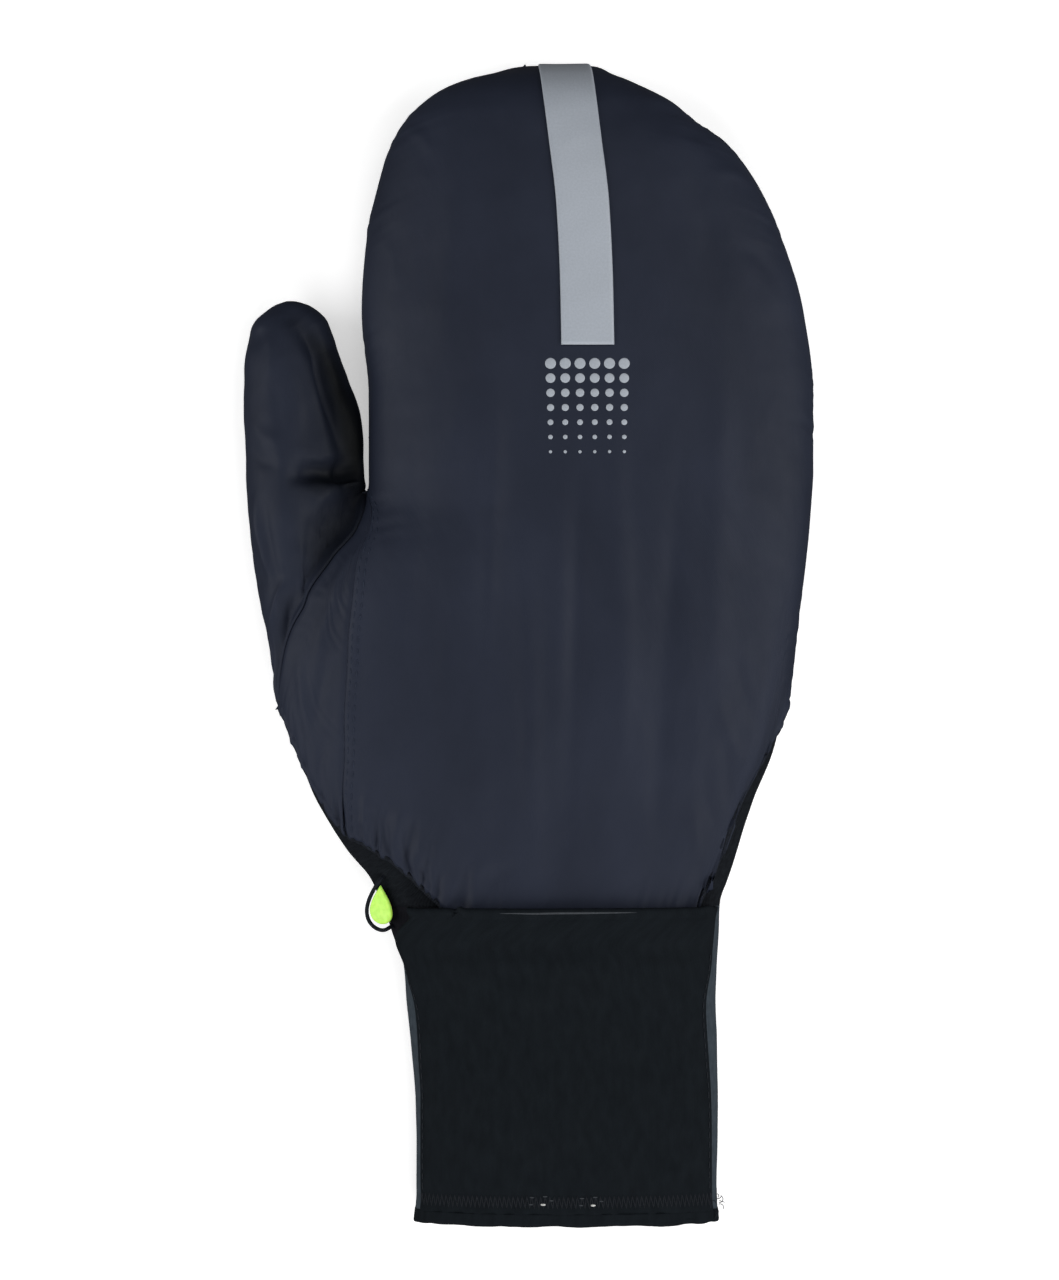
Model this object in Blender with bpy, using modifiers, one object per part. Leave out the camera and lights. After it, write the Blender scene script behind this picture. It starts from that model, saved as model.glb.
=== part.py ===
# Winter cycling glove for the right hand, lying palm down with its fingers along +Y and its thumb on -X.
# A thin wind hood with a thumb cover is pulled over a black glove with a stretch cuff.
# Every layer follows one body surface: an angle runs round the hand and a station runs along it.

import math

import bmesh
import bpy
from mathutils import Vector

# Lengths along the glove, in metres
GLOVE_LENGTH = 0.290
CUFF_LENGTH = 0.0793
CUFF_HEM_DEPTH = 0.0032
THUMB_LENGTH = 0.0478
THUMB_OPENING = 0.0538
# Widths across the glove
HOOD_WIDTH = 0.1134
WRIST_WIDTH = 0.0838
CUFF_WIDTH = 0.0760
THUMB_WIDTH = 0.0303
STRIPE_WIDTH = 0.0128
# Heights above the surface that the glove lies on
PALM_HEIGHT = 0.0310
WRIST_HEIGHT = 0.0210
CUFF_HEIGHT = 0.0180
THUMB_HEIGHT = 0.0235
# Cloth
HOOD_CLOTH = 0.0011
GLOVE_CLOTH = 0.0016
CUFF_CLOTH = 0.0015
POCKET_CLOTH = 0.0012
TAPE_CLOTH = 0.0005
HEM_RADIUS = 0.00055
# Pull tab at the wrist
TAB_LENGTH = 0.0100
TAB_WIDTH = 0.0076
TAB_THICKNESS = 0.0012
TAB_CORD_RADIUS = 0.0005
# Clearances between pieces
FIT_GAP = 0.0003
PANEL_GAP = 0.0005
THUMB_CLEARANCE = 0.0004

HOOD_LIFT = HOOD_CLOTH + FIT_GAP
TAPE_LIFT = TAPE_CLOTH + FIT_GAP
HAND_LENGTH = GLOVE_LENGTH - CUFF_LENGTH - HOOD_LIFT - TAPE_LIFT
WRIST_Y = CUFF_LENGTH - GLOVE_LENGTH / 2

# Sections from the cuff's mouth at -1, through the wrist at 0, to the fingertips at 1
# Left and right are shares of the named width from the hand's axis, the rest are shares of the named height
# along, width, left, right, height, crown, seam, floor
BODY_ROWS = (
    (-1.000, CUFF_WIDTH, -0.574, 0.436, CUFF_HEIGHT, 1.00, 0.44, 0.00),
    (-0.899, CUFF_WIDTH, -0.564, 0.429, CUFF_HEIGHT, 1.00, 0.44, 0.00),
    (-0.615, CUFF_WIDTH, -0.567, 0.433, CUFF_HEIGHT, 1.04, 0.44, 0.00),
    (-0.457, CUFF_WIDTH, -0.581, 0.429, CUFF_HEIGHT, 1.05, 0.45, 0.00),
    (-0.300, CUFF_WIDTH, -0.597, 0.426, CUFF_HEIGHT, 1.09, 0.46, 0.00),
    (-0.189, CUFF_WIDTH, -0.607, 0.429, CUFF_HEIGHT, 1.12, 0.47, 0.00),
    (-0.110, CUFF_WIDTH, -0.636, 0.433, CUFF_HEIGHT, 1.13, 0.48, 0.00),
    (0.000, WRIST_WIDTH, -0.616, 0.396, WRIST_HEIGHT, 1.00, 0.43, 0.00),
    (0.030, WRIST_WIDTH, -0.646, 0.419, WRIST_HEIGHT, 1.03, 0.44, 0.00),
    (0.066, WRIST_WIDTH, -0.718, 0.449, WRIST_HEIGHT, 1.08, 0.46, 0.00),
    (0.125, HOOD_WIDTH, -0.597, 0.366, PALM_HEIGHT, 0.79, 0.33, 0.00),
    (0.185, HOOD_WIDTH, -0.641, 0.410, PALM_HEIGHT, 0.86, 0.34, 0.00),
    (0.245, HOOD_WIDTH, -0.668, 0.434, PALM_HEIGHT, 0.91, 0.35, 0.00),
    (0.304, HOOD_WIDTH, -0.674, 0.447, PALM_HEIGHT, 0.95, 0.36, 0.00),
    (0.364, HOOD_WIDTH, -0.656, 0.459, PALM_HEIGHT, 0.98, 0.36, 0.00),
    (0.412, HOOD_WIDTH, -0.592, 0.470, PALM_HEIGHT, 1.00, 0.36, 0.00),
    (0.448, HOOD_WIDTH, -0.518, 0.477, PALM_HEIGHT, 1.00, 0.36, 0.00),
    (0.484, HOOD_WIDTH, -0.476, 0.482, PALM_HEIGHT, 1.00, 0.36, 0.00),
    (0.520, HOOD_WIDTH, -0.470, 0.486, PALM_HEIGHT, 1.00, 0.36, 0.00),
    (0.615, HOOD_WIDTH, -0.471, 0.486, PALM_HEIGHT, 0.98, 0.35, 0.00),
    (0.710, HOOD_WIDTH, -0.486, 0.465, PALM_HEIGHT, 0.96, 0.34, 0.00),
    (0.806, HOOD_WIDTH, -0.474, 0.412, PALM_HEIGHT, 0.92, 0.33, 0.00),
    (0.854, HOOD_WIDTH, -0.454, 0.372, PALM_HEIGHT, 0.89, 0.33, 0.00),
    (0.902, HOOD_WIDTH, -0.428, 0.311, PALM_HEIGHT, 0.84, 0.32, 0.00),
    (0.940, HOOD_WIDTH, -0.388, 0.217, PALM_HEIGHT, 0.78, 0.32, 0.00),
    (0.956, HOOD_WIDTH, -0.357, 0.184, PALM_HEIGHT, 0.74, 0.32, 0.01),
    (0.969, HOOD_WIDTH, -0.324, 0.142, PALM_HEIGHT, 0.69, 0.32, 0.03),
    (0.983, HOOD_WIDTH, -0.263, 0.085, PALM_HEIGHT, 0.60, 0.31, 0.08),
    (0.9905, HOOD_WIDTH, -0.206, 0.050, PALM_HEIGHT, 0.52, 0.31, 0.14),
    (0.9975, HOOD_WIDTH, -0.162, 0.027, PALM_HEIGHT, 0.40, 0.31, 0.22),
    (1.000, HOOD_WIDTH, -0.133, 0.014, PALM_HEIGHT, 0.325, 0.31, 0.295),
)

# Soft folds of the back: place, ends and half width as shares of the lengths and widths they lie in
# across, from, to, lean, half width, height
BACK_FOLDS = (
    (-0.21, 0.30, 0.62, 0.03, 0.026, -0.030),
    (-0.13, 0.06, 0.44, -0.02, 0.030, 0.028),
    (-0.03, 0.10, 0.52, 0.03, 0.024, -0.028),
    (0.06, 0.20, 0.60, -0.02, 0.028, 0.026),
    (0.17, 0.12, 0.50, 0.04, 0.026, -0.030),
    (0.28, 0.18, 0.66, 0.02, 0.030, 0.024),
    (0.25, 0.74, 0.90, -0.06, 0.030, -0.030),
    (-0.30, 0.64, 0.88, 0.04, 0.034, 0.024),
)
# Gathers above the hood's hem on the thumb side and beside the little finger
# across, from, to, lean, half width, height
HEM_GATHERS = (
    (-0.445, 0.075, 0.115, 0.01, 0.012, -0.030),
    (-0.390, 0.050, 0.105, 0.01, 0.012, -0.036),
    (-0.350, 0.025, 0.090, 0.02, 0.012, -0.036),
    (-0.275, -0.020, 0.060, 0.02, 0.012, -0.024),
    (0.245, 0.000, 0.060, -0.01, 0.012, -0.030),
    (0.300, 0.120, 0.200, -0.01, 0.014, -0.024),
)
# Shares of a fold's length between which it rises at one end and runs out at the other
FOLD_ENDS = (-0.2, 0.3, 0.7, 1.2)
# How far the black glove lies below the hood's unfolded surface, as a share of the palm's height
SLACK_UNDER_HOOD = 0.045
# Creases across the cuff, just below the pocket's edge
# along, from, to, half width, height
CUFF_CREASES = (
    (-0.13, -0.38, 0.36, 0.045, -0.014),
    (-0.24, -0.30, 0.10, 0.050, -0.010),
)

# The hood's hem over the back: angle as a share of the half turn from left to right, and station
HEM_ROWS = (
    (0.000, 0.2350),
    (0.044, 0.2180),
    (0.078, 0.1550),
    (0.100, 0.1080),
    (0.122, 0.0860),
    (0.172, 0.0700),
    (0.211, 0.0530),
    (0.240, 0.0260),
    (0.294, -0.0100),
    (0.344, -0.0560),
    (0.500, -0.0780),
    (0.667, -0.0780),
    (0.778, -0.0540),
    (0.833, 0.0060),
    (0.850, 0.0420),
    (0.867, 0.1020),
    (0.889, 0.1550),
    (0.906, 0.1900),
    (0.936, 0.2120),
    (0.961, 0.2300),
    (1.000, 0.2350),
)
# The hem across the palm rises to this share above its ends
PALM_HEM_ARCH = 0.03

# The stitched seam between the back and the thumb panel: station, and angle as a share of the half turn
SEAM_ROWS = (
    (0.0880, 0.126),
    (0.1250, 0.168),
    (0.1850, 0.214),
    (0.2450, 0.234),
    (0.3050, 0.243),
    (0.3640, 0.237),
    (0.4160, 0.188),
    (0.4600, 0.118),
    (0.4956, 0.030),
)
# The opening that the thumb cover is sewn to: share of its length from the crotch, angles above and below
OPENING_ROWS = (
    (0.000, 0.000, 0.000),
    (0.163, 0.086, 0.100),
    (0.284, 0.120, 0.160),
    (0.414, 0.132, 0.180),
    (0.516, 0.132, 0.180),
    (0.623, 0.108, 0.160),
    (0.814, 0.063, 0.100),
    (1.000, 0.000, 0.000),
)
CROTCH_ALONG = 0.4956

# The free thumb from the crotch to its tip: left and right are shares of its width from its outer side
# along, left, right, crown, floor
THUMB_ROWS = (
    (0.052, 0.029, 1.020, 0.99, 0.00),
    (0.209, 0.012, 1.012, 0.98, 0.00),
    (0.419, 0.000, 0.977, 0.94, 0.00),
    (0.628, 0.004, 0.857, 0.89, 0.00),
    (0.733, 0.008, 0.800, 0.85, 0.01),
    (0.838, 0.037, 0.742, 0.79, 0.04),
    (0.900, 0.095, 0.697, 0.73, 0.09),
    (0.942, 0.169, 0.643, 0.67, 0.15),
    (0.979, 0.260, 0.556, 0.58, 0.25),
    (0.997, 0.350, 0.449, 0.49, 0.35),
)
# Folds across the thumb: station, angle of the middle and half spread as shares of a turn, half width, height
THUMB_FOLDS = (
    (0.12, 0.16, 0.16, 0.070, -0.060),
    (-0.15, 0.30, 0.18, 0.110, 0.045),
    (0.55, 0.08, 0.10, 0.160, -0.050),
    (0.80, 0.42, 0.12, 0.060, -0.040),
    (-0.45, 0.38, 0.12, 0.060, -0.040),
    (0.28, 0.16, 0.16, 0.400, -0.090),
    (-0.16, 0.15, 0.16, 0.160, -0.080),
)

# The pocket's side edges: station, and angles as shares of the half turn
POCKET_ROWS = (
    (-1.000, 0.100, 0.905),
    (-0.850, 0.090, 0.900),
    (-0.550, 0.100, 0.885),
    (-0.350, 0.115, 0.872),
    (-0.200, 0.100, 0.868),
    (-0.120, 0.090, 0.872),
    (-0.020, 0.200, 0.885),
)
# The middle of the silver tape: station, and place as a share of the hood's width
STRIPE_ROWS = (
    (0.6635, -0.002),
    (0.7410, -0.005),
    (0.8290, -0.013),
    (0.9050, -0.029),
    (1.0000, -0.052),
)

# Shape of a section: a rounded crown over a floor that is flat in its middle
CROWN_POWER = 0.9
FLOOR_POWER = 0.45
FLOOR_REACH = 1.06
HALF_TURN = math.pi
FULL_TURN = 2 * math.pi

# Rows and columns of each piece: the lower ends of the hood's columns are also the corners of its hem
BACK_ROWS = 32
BACK_COLUMNS = 20
# How late the hood's rows bend towards the curve of its hem
HEM_BEND = 3
THUMB_PANEL_COLUMNS = 5
PALM_ROWS = 24
PALM_COLUMNS = 16
THUMB_COLUMNS = 20
THUMB_TIP_ROWS = 10
THUMB_ROOT_SHARES = (0.18, 0.36, 0.54, 0.70, 0.85)
HAND_ROWS = 12
HAND_COLUMNS = 32
CUFF_ROWS = 10
CUFF_COLUMNS = 28
POCKET_SIDES = 14
STRIPE_LENGTHS = 16
STRIPE_COLUMNS = 4
TAB_SIDES = 24
# How much closer rows come towards the fingertips, and columns towards the hood's sides
TIP_CROWDING = 1.6
SIDE_CROWDING = 0.065

# Stations between which the palm of the black glove rises to let the hood's palm lie under it
UNDER_HOOD = (0.12, 0.22)
# Ends of the stretch of the hood's side that the free thumb lies beside, as steps from the crotch and its tip
BESIDE_THUMB = (0.04, 0.07)
# The black glove ends inside the hood here, and this far below the thumb's opening
HAND_END = 0.50
THUMB_NOTCH_STEP = 0.012
THUMB_NOTCH_ANGLES = (0.20, 0.42)
# The thumb panel starts where it is this wide, in radians
THUMB_PANEL_START = 0.08
# Angles from the side and stations over which the pocket rises to hold the hood's end
POCKET_RISE_ANGLES = (0.06, 0.15)
POCKET_RISE_STATIONS = (-0.34, -0.16)
POCKET_TOP = 0.002
# Heights round the cuff between which its hem grows over the pocket's lower end
HEM_RISE = (0.25, 0.6)
# The outline of the tab and the stretch of it that the binding follows
TAB_POINT = 1.2
TAB_FULLNESS = 1.16
TAB_BOUND = (0.47, 0.93)
TAB_TURNS = (math.radians(14), math.radians(-30), math.radians(-6))
TAB_SEAT = (0.145 * HALF_TURN, 0.003)

# Colours as linear RGB, and the roughness of each cloth
NAVY_NYLON = ((0.026, 0.031, 0.047), 0.55)
DARK_ELASTIC = ((0.010, 0.012, 0.017), 0.70)
BLACK_KNIT = ((0.012, 0.014, 0.020), 0.85)
BLACK_STRETCH = ((0.010, 0.012, 0.015), 0.75)
GREY_STRETCH = ((0.045, 0.058, 0.073), 0.80)
SILVER_TAPE = ((0.350, 0.380, 0.420), 0.40)
NEON_RUBBER = ((0.520, 0.860, 0.160), 0.45)


def slopes(rows):
    """Tangents for each column of a table, which never overshoot its rows."""
    secants = []
    for low, high in zip(rows, rows[1:]):
        step = high[0] - low[0]
        secants.append([(b - a) / step for a, b in zip(low[1:], high[1:])])
    tangents = [secants[0]]
    for before, after in zip(secants, secants[1:]):
        tangents.append([2 * a * b / (a + b) if a * b > 0 else 0.0 for a, b in zip(before, after)])
    tangents.append(secants[-1])
    return tangents


def prepared(rows):
    """A table with its tangents, worked out once."""
    return rows, slopes(rows)


def read(table, at):
    """All columns of a prepared table at one station, on a smooth curve through its rows."""
    rows, tangents = table
    at = min(max(at, rows[0][0]), rows[-1][0])
    index = 0
    while index < len(rows) - 2 and rows[index + 1][0] < at:
        index += 1
    low, high = rows[index], rows[index + 1]
    step = high[0] - low[0]
    t = (at - low[0]) / step
    keep = (1 + 2 * t) * (1 - t) ** 2
    leave = t * (1 - t) ** 2
    reach = t * t * (3 - 2 * t)
    arrive = t * t * (t - 1)
    columns = zip(low[1:], high[1:], tangents[index], tangents[index + 1])
    return [keep * a + reach * b + step * (leave * c + arrive * d) for a, b, c, d in columns]


def ease(value, low, high):
    """0 below low, 1 above high, smooth between."""
    t = min(max((value - low) / (high - low), 0.0), 1.0)
    return t * t * (3 - 2 * t)


def mix(low, high, share):
    return low + (high - low) * share


def spaced(count, power=1.0):
    """Shares from 0 to 1, closer together at 0 where the power is above 1."""
    return [(k / count) ** power for k in range(count + 1)]


BODY = prepared([
    (along, width * left, width * right, height * crown, height * seam, height * floor)
    for along, width, left, right, height, crown, seam, floor in BODY_ROWS
])
HEM = prepared(HEM_ROWS)
SEAM = prepared(SEAM_ROWS)
OPENING = prepared(OPENING_ROWS)
THUMB = prepared(THUMB_ROWS)
POCKET = prepared(POCKET_ROWS)
STRIPE = prepared(STRIPE_ROWS)


def thumb_side_reach():
    """How far the hood's side comes out towards the free thumb, from the hand's axis."""
    thumb_end = CROTCH_ALONG + THUMB_LENGTH / HAND_LENGTH
    first, last = CROTCH_ALONG + BESIDE_THUMB[0], thumb_end - BESIDE_THUMB[1]
    return max(-read(BODY, mix(first, last, share))[0] for share in spaced(12)) + HOOD_LIFT


LITTLE_FINGER_REACH = max(row[2] for row in BODY[0]) + HOOD_LIFT
THUMB_REACH = thumb_side_reach() + THUMB_CLEARANCE + THUMB_WIDTH
# The glove's box is centred on the origin
HAND_AXIS = (THUMB_REACH - LITTLE_FINGER_REACH) / 2
THUMB_OUTER_X = HAND_AXIS - THUMB_REACH
CROTCH_Y = WRIST_Y + CROTCH_ALONG * HAND_LENGTH


def y_at(along):
    return WRIST_Y + along * (HAND_LENGTH if along >= 0 else CUFF_LENGTH)


def along_at(y):
    return (y - WRIST_Y) / (HAND_LENGTH if y >= WRIST_Y else CUFF_LENGTH)


def fold_height(across, along):
    """Height of the back's folds, gathers and creases at a place, as a share of the palm's height."""
    height = 0.0
    rise, full, fade, gone = FOLD_ENDS
    for middle, start, end, lean, half_width, depth in BACK_FOLDS + HEM_GATHERS:
        share = (along - start) / (end - start)
        if rise < share < gone:
            offset = (across - middle - lean * (share - 0.5)) / half_width
            ends = ease(share, rise, full) * (1 - ease(share, fade, gone))
            height += depth * math.exp(-offset * offset) * ends
    for middle, start, end, half_width, depth in CUFF_CREASES:
        offset = (along - middle) / half_width
        window = ease(across, start - 0.1, start) * (1 - ease(across, end, end + 0.1))
        height += depth * math.exp(-offset * offset) * window
    return height


def body_point(angle, along):
    """A point of the body surface: angle 0 is the thumb side, a quarter turn is the back of the hand."""
    left, right, crown, seam, floor = read(BODY, along)
    floor += HOOD_LIFT * ease(along, *UNDER_HOOD)
    across = (left + right) / 2 - (right - left) / 2 * math.cos(angle)
    turn = math.sin(angle)
    if turn >= 0:
        z = seam + (crown - seam) * turn ** CROWN_POWER
        z += PALM_HEIGHT * fold_height(across / HOOD_WIDTH, along) * turn
    else:
        z = seam - (seam - floor) * min(1.0, FLOOR_REACH * (-turn) ** FLOOR_POWER)
    return Vector((HAND_AXIS + across, y_at(along), z))


def body_normal(angle, along):
    """Outward direction of that surface."""
    turn_step, along_step = 0.05, 0.003
    before, after = max(along - along_step, -1.0), min(along + along_step, 1.0)
    round_hand = body_point(angle + turn_step, along) - body_point(angle - turn_step, along)
    along_hand = body_point(angle, after) - body_point(angle, before)
    return round_hand.cross(along_hand).normalized()


def skin(angle, along, lift):
    """The body surface raised by a distance."""
    return body_point(angle, along) + body_normal(angle, along) * lift


def slack_skin(angle, along):
    """The black glove's outer surface, which lies below the deepest fold of the hood over it."""
    point = body_point(angle, along)
    turn = max(math.sin(angle), 0.0)
    across = (point.x - HAND_AXIS) / HOOD_WIDTH
    slack = fold_height(across, along) + SLACK_UNDER_HOOD * ease(along, 0.0, 0.03)
    point.z -= PALM_HEIGHT * slack * turn
    return point


def hood_skin(angle, along, lift=0.0):
    """The hood's outer surface, whose upper half clears the lower one at the side seams."""
    upper = PANEL_GAP if math.sin(angle) >= 0 else 0.0
    point = skin(angle, along, HOOD_LIFT + lift) + Vector((0, 0, upper))
    point.z = max(point.z, 0.0)
    return point


def hem_along(angle):
    """Station of the hood's hem at any angle round the hand."""
    if angle <= HALF_TURN:
        return read(HEM, angle / HALF_TURN)[0]
    return HEM_ROWS[0][1] + PALM_HEM_ARCH * math.sin(angle - HALF_TURN)


def seam_angle(along):
    """Angle of the stitched seam, which starts at the crotch of the thumb."""
    if along >= SEAM_ROWS[-1][0]:
        return 0.0
    return HALF_TURN * read(SEAM, along)[0]


def opening_angles(along):
    """Angles above and below the side seam between which the thumb opens, at a station."""
    share = (CROTCH_Y - y_at(along)) / THUMB_OPENING
    if not 0 < share < 1:
        return 0.0, 0.0
    above, below = read(OPENING, share)
    return HALF_TURN * above, HALF_TURN * below


def make_material(name, look):
    colour, roughness = look
    material = bpy.data.materials.new(name)
    material.use_nodes = True
    shader = material.node_tree.nodes["Principled BSDF"]
    shader.inputs["Base Color"].default_value = (*colour, 1.0)
    shader.inputs["Roughness"].default_value = roughness
    shader.inputs["Metallic"].default_value = 0.0
    return material


def add_object(name, data, look):
    data.materials.append(make_material(name, look))
    piece = bpy.data.objects.new(name, data)
    glove.objects.link(piece)
    return piece


def cloth(name, grid, thickness, look, closed=False, tip=None, centre_x=None):
    """A grid of points made into one sheet of cloth, its thickness added on the inner side."""
    mesh = bmesh.new()
    rows = [[mesh.verts.new(point) for point in row] for row in grid]
    count = len(rows[0])
    for low, high in zip(rows, rows[1:]):
        for k in range(count if closed else count - 1):
            following = (k + 1) % count
            mesh.faces.new((low[k], low[following], high[following], high[k]))
    if tip:
        pole = mesh.verts.new(tip)
        for k in range(count):
            mesh.faces.new((rows[-1][k], rows[-1][(k + 1) % count], pole))
    mesh.normal_update()
    middle_x = HAND_AXIS if centre_x is None else centre_x
    outward = 0.0
    for face in mesh.faces:
        centre = face.calc_center_median()
        arm = Vector((centre.x - middle_x, 0, centre.z - PALM_HEIGHT / 2))
        outward += face.normal.dot(arm) * face.calc_area()
    if outward < 0:
        bmesh.ops.reverse_faces(mesh, faces=mesh.faces[:])
    data = bpy.data.meshes.new(name)
    mesh.to_mesh(data)
    mesh.free()
    data.shade_smooth()
    piece = add_object(name, data, look)
    wall = piece.modifiers.new("wall", "SOLIDIFY")
    wall.thickness = thickness
    wall.offset = -1
    return piece


def back_columns():
    """Shares across the back panel, closer together at its sides, where its hem is steep."""
    return [share - SIDE_CROWDING * math.sin(FULL_TURN * share) for share in spaced(BACK_COLUMNS)]


def seam_stations():
    """Stations of the back panel's rows where they meet the thumb's side or the stitched seam."""
    return [mix(1.0, SEAM_ROWS[0][0], down) for down in spaced(BACK_ROWS, TIP_CROWDING)]


def hood_back():
    """From the fingertips to the hem, and from the stitched seam to the little finger's side."""
    foot = SEAM_ROWS[0][0]
    foot_angle = seam_angle(foot) + PANEL_GAP / PALM_HEIGHT
    to_foot = foot - hem_along(foot_angle)
    grid = []
    for left_along in seam_stations():
        down = (1.0 - left_along) / (1.0 - foot)
        left = seam_angle(left_along)
        if left > 0:
            left += PANEL_GAP / PALM_HEIGHT
        row = []
        for share in back_columns():
            bottom = hem_along(mix(foot_angle, HALF_TURN, share)) + to_foot * (1 - share)
            along = left_along + (bottom - foot) * down ** HEM_BEND
            row.append(hood_skin(mix(left, HALF_TURN, share), along))
        grid.append(row)
    return cloth("hood_back", grid, HOOD_CLOTH, NAVY_NYLON)


def hood_thumb_panel():
    """From the crotch down to the hem, between the thumb's opening and the stitched seam."""
    stations = [along for along in seam_stations()
                if seam_angle(along) > opening_angles(along)[0] + THUMB_PANEL_START]
    top, foot = stations[0], stations[-1]
    foot_angle = seam_angle(foot)
    to_foot = foot - hem_along(foot_angle)
    grid = []
    for right_along in stations:
        down = (top - right_along) / (top - foot)
        right = seam_angle(right_along)
        row = []
        for share in spaced(THUMB_PANEL_COLUMNS):
            bottom = hem_along(foot_angle * share) + to_foot * share
            along = mix(top, bottom, down)
            left = opening_angles(along)[0]
            if left > 0:
                left += PANEL_GAP / PALM_HEIGHT
            row.append(hood_skin(mix(left, right, share), along))
        grid.append(row)
    return cloth("hood_thumb_panel", grid, HOOD_CLOTH, NAVY_NYLON)


def hood_palm():
    """The palm side, from the fingertips to the hem across the palm, open at the thumb."""
    below_seam = 0.0001
    grid = []
    for down in spaced(PALM_ROWS, TIP_CROWDING):
        row = []
        for share in spaced(PALM_COLUMNS):
            bottom = hem_along(HALF_TURN + HALF_TURN * share)
            along = mix(1.0, bottom, down)
            left = FULL_TURN - opening_angles(along)[1]
            if left < FULL_TURN:
                left -= PANEL_GAP / PALM_HEIGHT
            row.append(hood_skin(mix(HALF_TURN + below_seam, left - below_seam, share), along))
        grid.append(row)
    return cloth("hood_palm", grid, HOOD_CLOTH, NAVY_NYLON)


def thumb_ring(along):
    """One section of the free thumb, its first point towards the hand."""
    left, right, crown, floor = read(THUMB, along)
    middle = THUMB_OUTER_X + THUMB_WIDTH * (left + right) / 2
    half = THUMB_WIDTH * (right - left) / 2
    centre_z = THUMB_HEIGHT * (crown + floor) / 2
    half_z = THUMB_HEIGHT * (crown - floor) / 2
    ring = []
    for k in range(THUMB_COLUMNS):
        angle = FULL_TURN * k / THUMB_COLUMNS
        z = centre_z + half_z * math.copysign(abs(math.sin(angle)) ** CROWN_POWER, math.sin(angle))
        ring.append(Vector((middle + half * math.cos(angle), CROTCH_Y + along * THUMB_LENGTH, z)))
    return ring


def thumb_fold(point, angle):
    """A point of the thumb moved out or in by the folds that cross it."""
    along = (point.y - CROTCH_Y) / THUMB_LENGTH
    share = angle / FULL_TURN
    height = 0.0
    for middle, turn, spread, half_width, depth in THUMB_FOLDS:
        away = abs(share - turn)
        away = min(away, 1 - away)
        offset = (along - middle) / half_width
        height += depth * math.exp(-offset * offset) * (1 - ease(away, spread * 0.4, spread))
    out = Vector((math.cos(angle), 0, math.sin(angle)))
    moved = point + out * height * THUMB_HEIGHT
    moved.z = max(moved.z, 0.0)
    return moved


def thumb_base():
    """The edge that is sewn round the thumb's opening, its first point at the crotch."""
    ring = []
    for k in range(THUMB_COLUMNS):
        angle = FULL_TURN * k / THUMB_COLUMNS
        along = along_at(CROTCH_Y - THUMB_OPENING * (1 - math.cos(angle)) / 2)
        above, below = opening_angles(along)
        ring.append(hood_skin(above if math.sin(angle) >= 0 else -below, along, PANEL_GAP))
    return ring


def bend(start, end, share):
    """A point on a curve that leaves start straight and arrives at end along the thumb."""
    leave = start + (end - start) / 3
    arrive = end - Vector((0, (end - start).length / 3, 0))
    rest = 1 - share
    return (rest ** 3 * start + 3 * rest * rest * share * leave
            + 3 * rest * share * share * arrive + share ** 3 * end)


def thumb_cover():
    """A tube from the opening in the hood's side to the closed tip of the thumb."""
    low, high = THUMB_ROWS[0][0], THUMB_ROWS[-1][0]
    base, first = thumb_base(), thumb_ring(low)
    rings = [[bend(start, end, share) for start, end in zip(base, first)] for share in THUMB_ROOT_SHARES]
    rings += [thumb_ring(mix(high, low, share)) for share in reversed(spaced(THUMB_TIP_ROWS, TIP_CROWDING))]
    grid = [base]
    for ring in rings:
        grid.append([thumb_fold(point, FULL_TURN * k / THUMB_COLUMNS) for k, point in enumerate(ring)])
    tip = sum(grid[-1], Vector()) / THUMB_COLUMNS
    tip.y = CROTCH_Y + THUMB_LENGTH
    thumb_middle = THUMB_OUTER_X + THUMB_WIDTH / 2
    return cloth("thumb_cover", grid, HOOD_CLOTH, NAVY_NYLON, closed=True, tip=tip, centre_x=thumb_middle)


def glove_hand():
    """The black glove's hand, from the wrist to inside the hood, lower where the thumb comes out."""
    thumb_notch = CROTCH_ALONG - THUMB_OPENING / HAND_LENGTH - THUMB_NOTCH_STEP
    grid = []
    for share in spaced(HAND_ROWS):
        row = []
        for k in range(HAND_COLUMNS):
            angle = FULL_TURN * k / HAND_COLUMNS
            from_thumb = min(angle, FULL_TURN - angle) / HALF_TURN
            top = mix(thumb_notch, HAND_END, ease(from_thumb, *THUMB_NOTCH_ANGLES))
            row.append(slack_skin(angle, mix(0.0, top, share)))
        grid.append(row)
    return cloth("glove_hand", grid, GLOVE_CLOTH, BLACK_KNIT, closed=True)


def cuff_tube():
    """The cuff's own wall, from the wrist down to its hem."""
    start = -FIT_GAP / CUFF_LENGTH
    end = -1 + (CUFF_HEM_DEPTH + FIT_GAP) / CUFF_LENGTH
    grid = []
    for share in spaced(CUFF_ROWS):
        along = mix(start, end, share)
        grid.append([skin(FULL_TURN * k / CUFF_COLUMNS, along, 0.0) for k in range(CUFF_COLUMNS)])
    return cloth("cuff_tube", grid, CUFF_CLOTH, GREY_STRETCH, closed=True)


def pocket_lift(angle, along):
    """Height of the pocket over the cuff, which holds the hood's end along its upper edge."""
    from_side = min(angle, HALF_TURN - angle) / HALF_TURN
    holding = ease(from_side, *POCKET_RISE_ANGLES) * ease(along, *POCKET_RISE_STATIONS)
    return FIT_GAP + holding * (HOOD_LIFT + PANEL_GAP + 3 * FIT_GAP)


def cuff_pocket():
    """The front panel of the cuff, from its open upper edge to the cuff's hem."""
    end = -1 + (CUFF_HEM_DEPTH + FIT_GAP) / CUFF_LENGTH
    grid = []
    for down in spaced(POCKET_SIDES):
        along = mix(POCKET_TOP, end, down)
        left, right = read(POCKET, along)
        row = []
        for share in spaced(POCKET_SIDES):
            angle = HALF_TURN * mix(left, right, share)
            row.append(skin(angle, along, pocket_lift(angle, along) + POCKET_CLOTH))
        grid.append(row)
    return cloth("cuff_pocket", grid, POCKET_CLOTH, BLACK_STRETCH)


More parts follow.
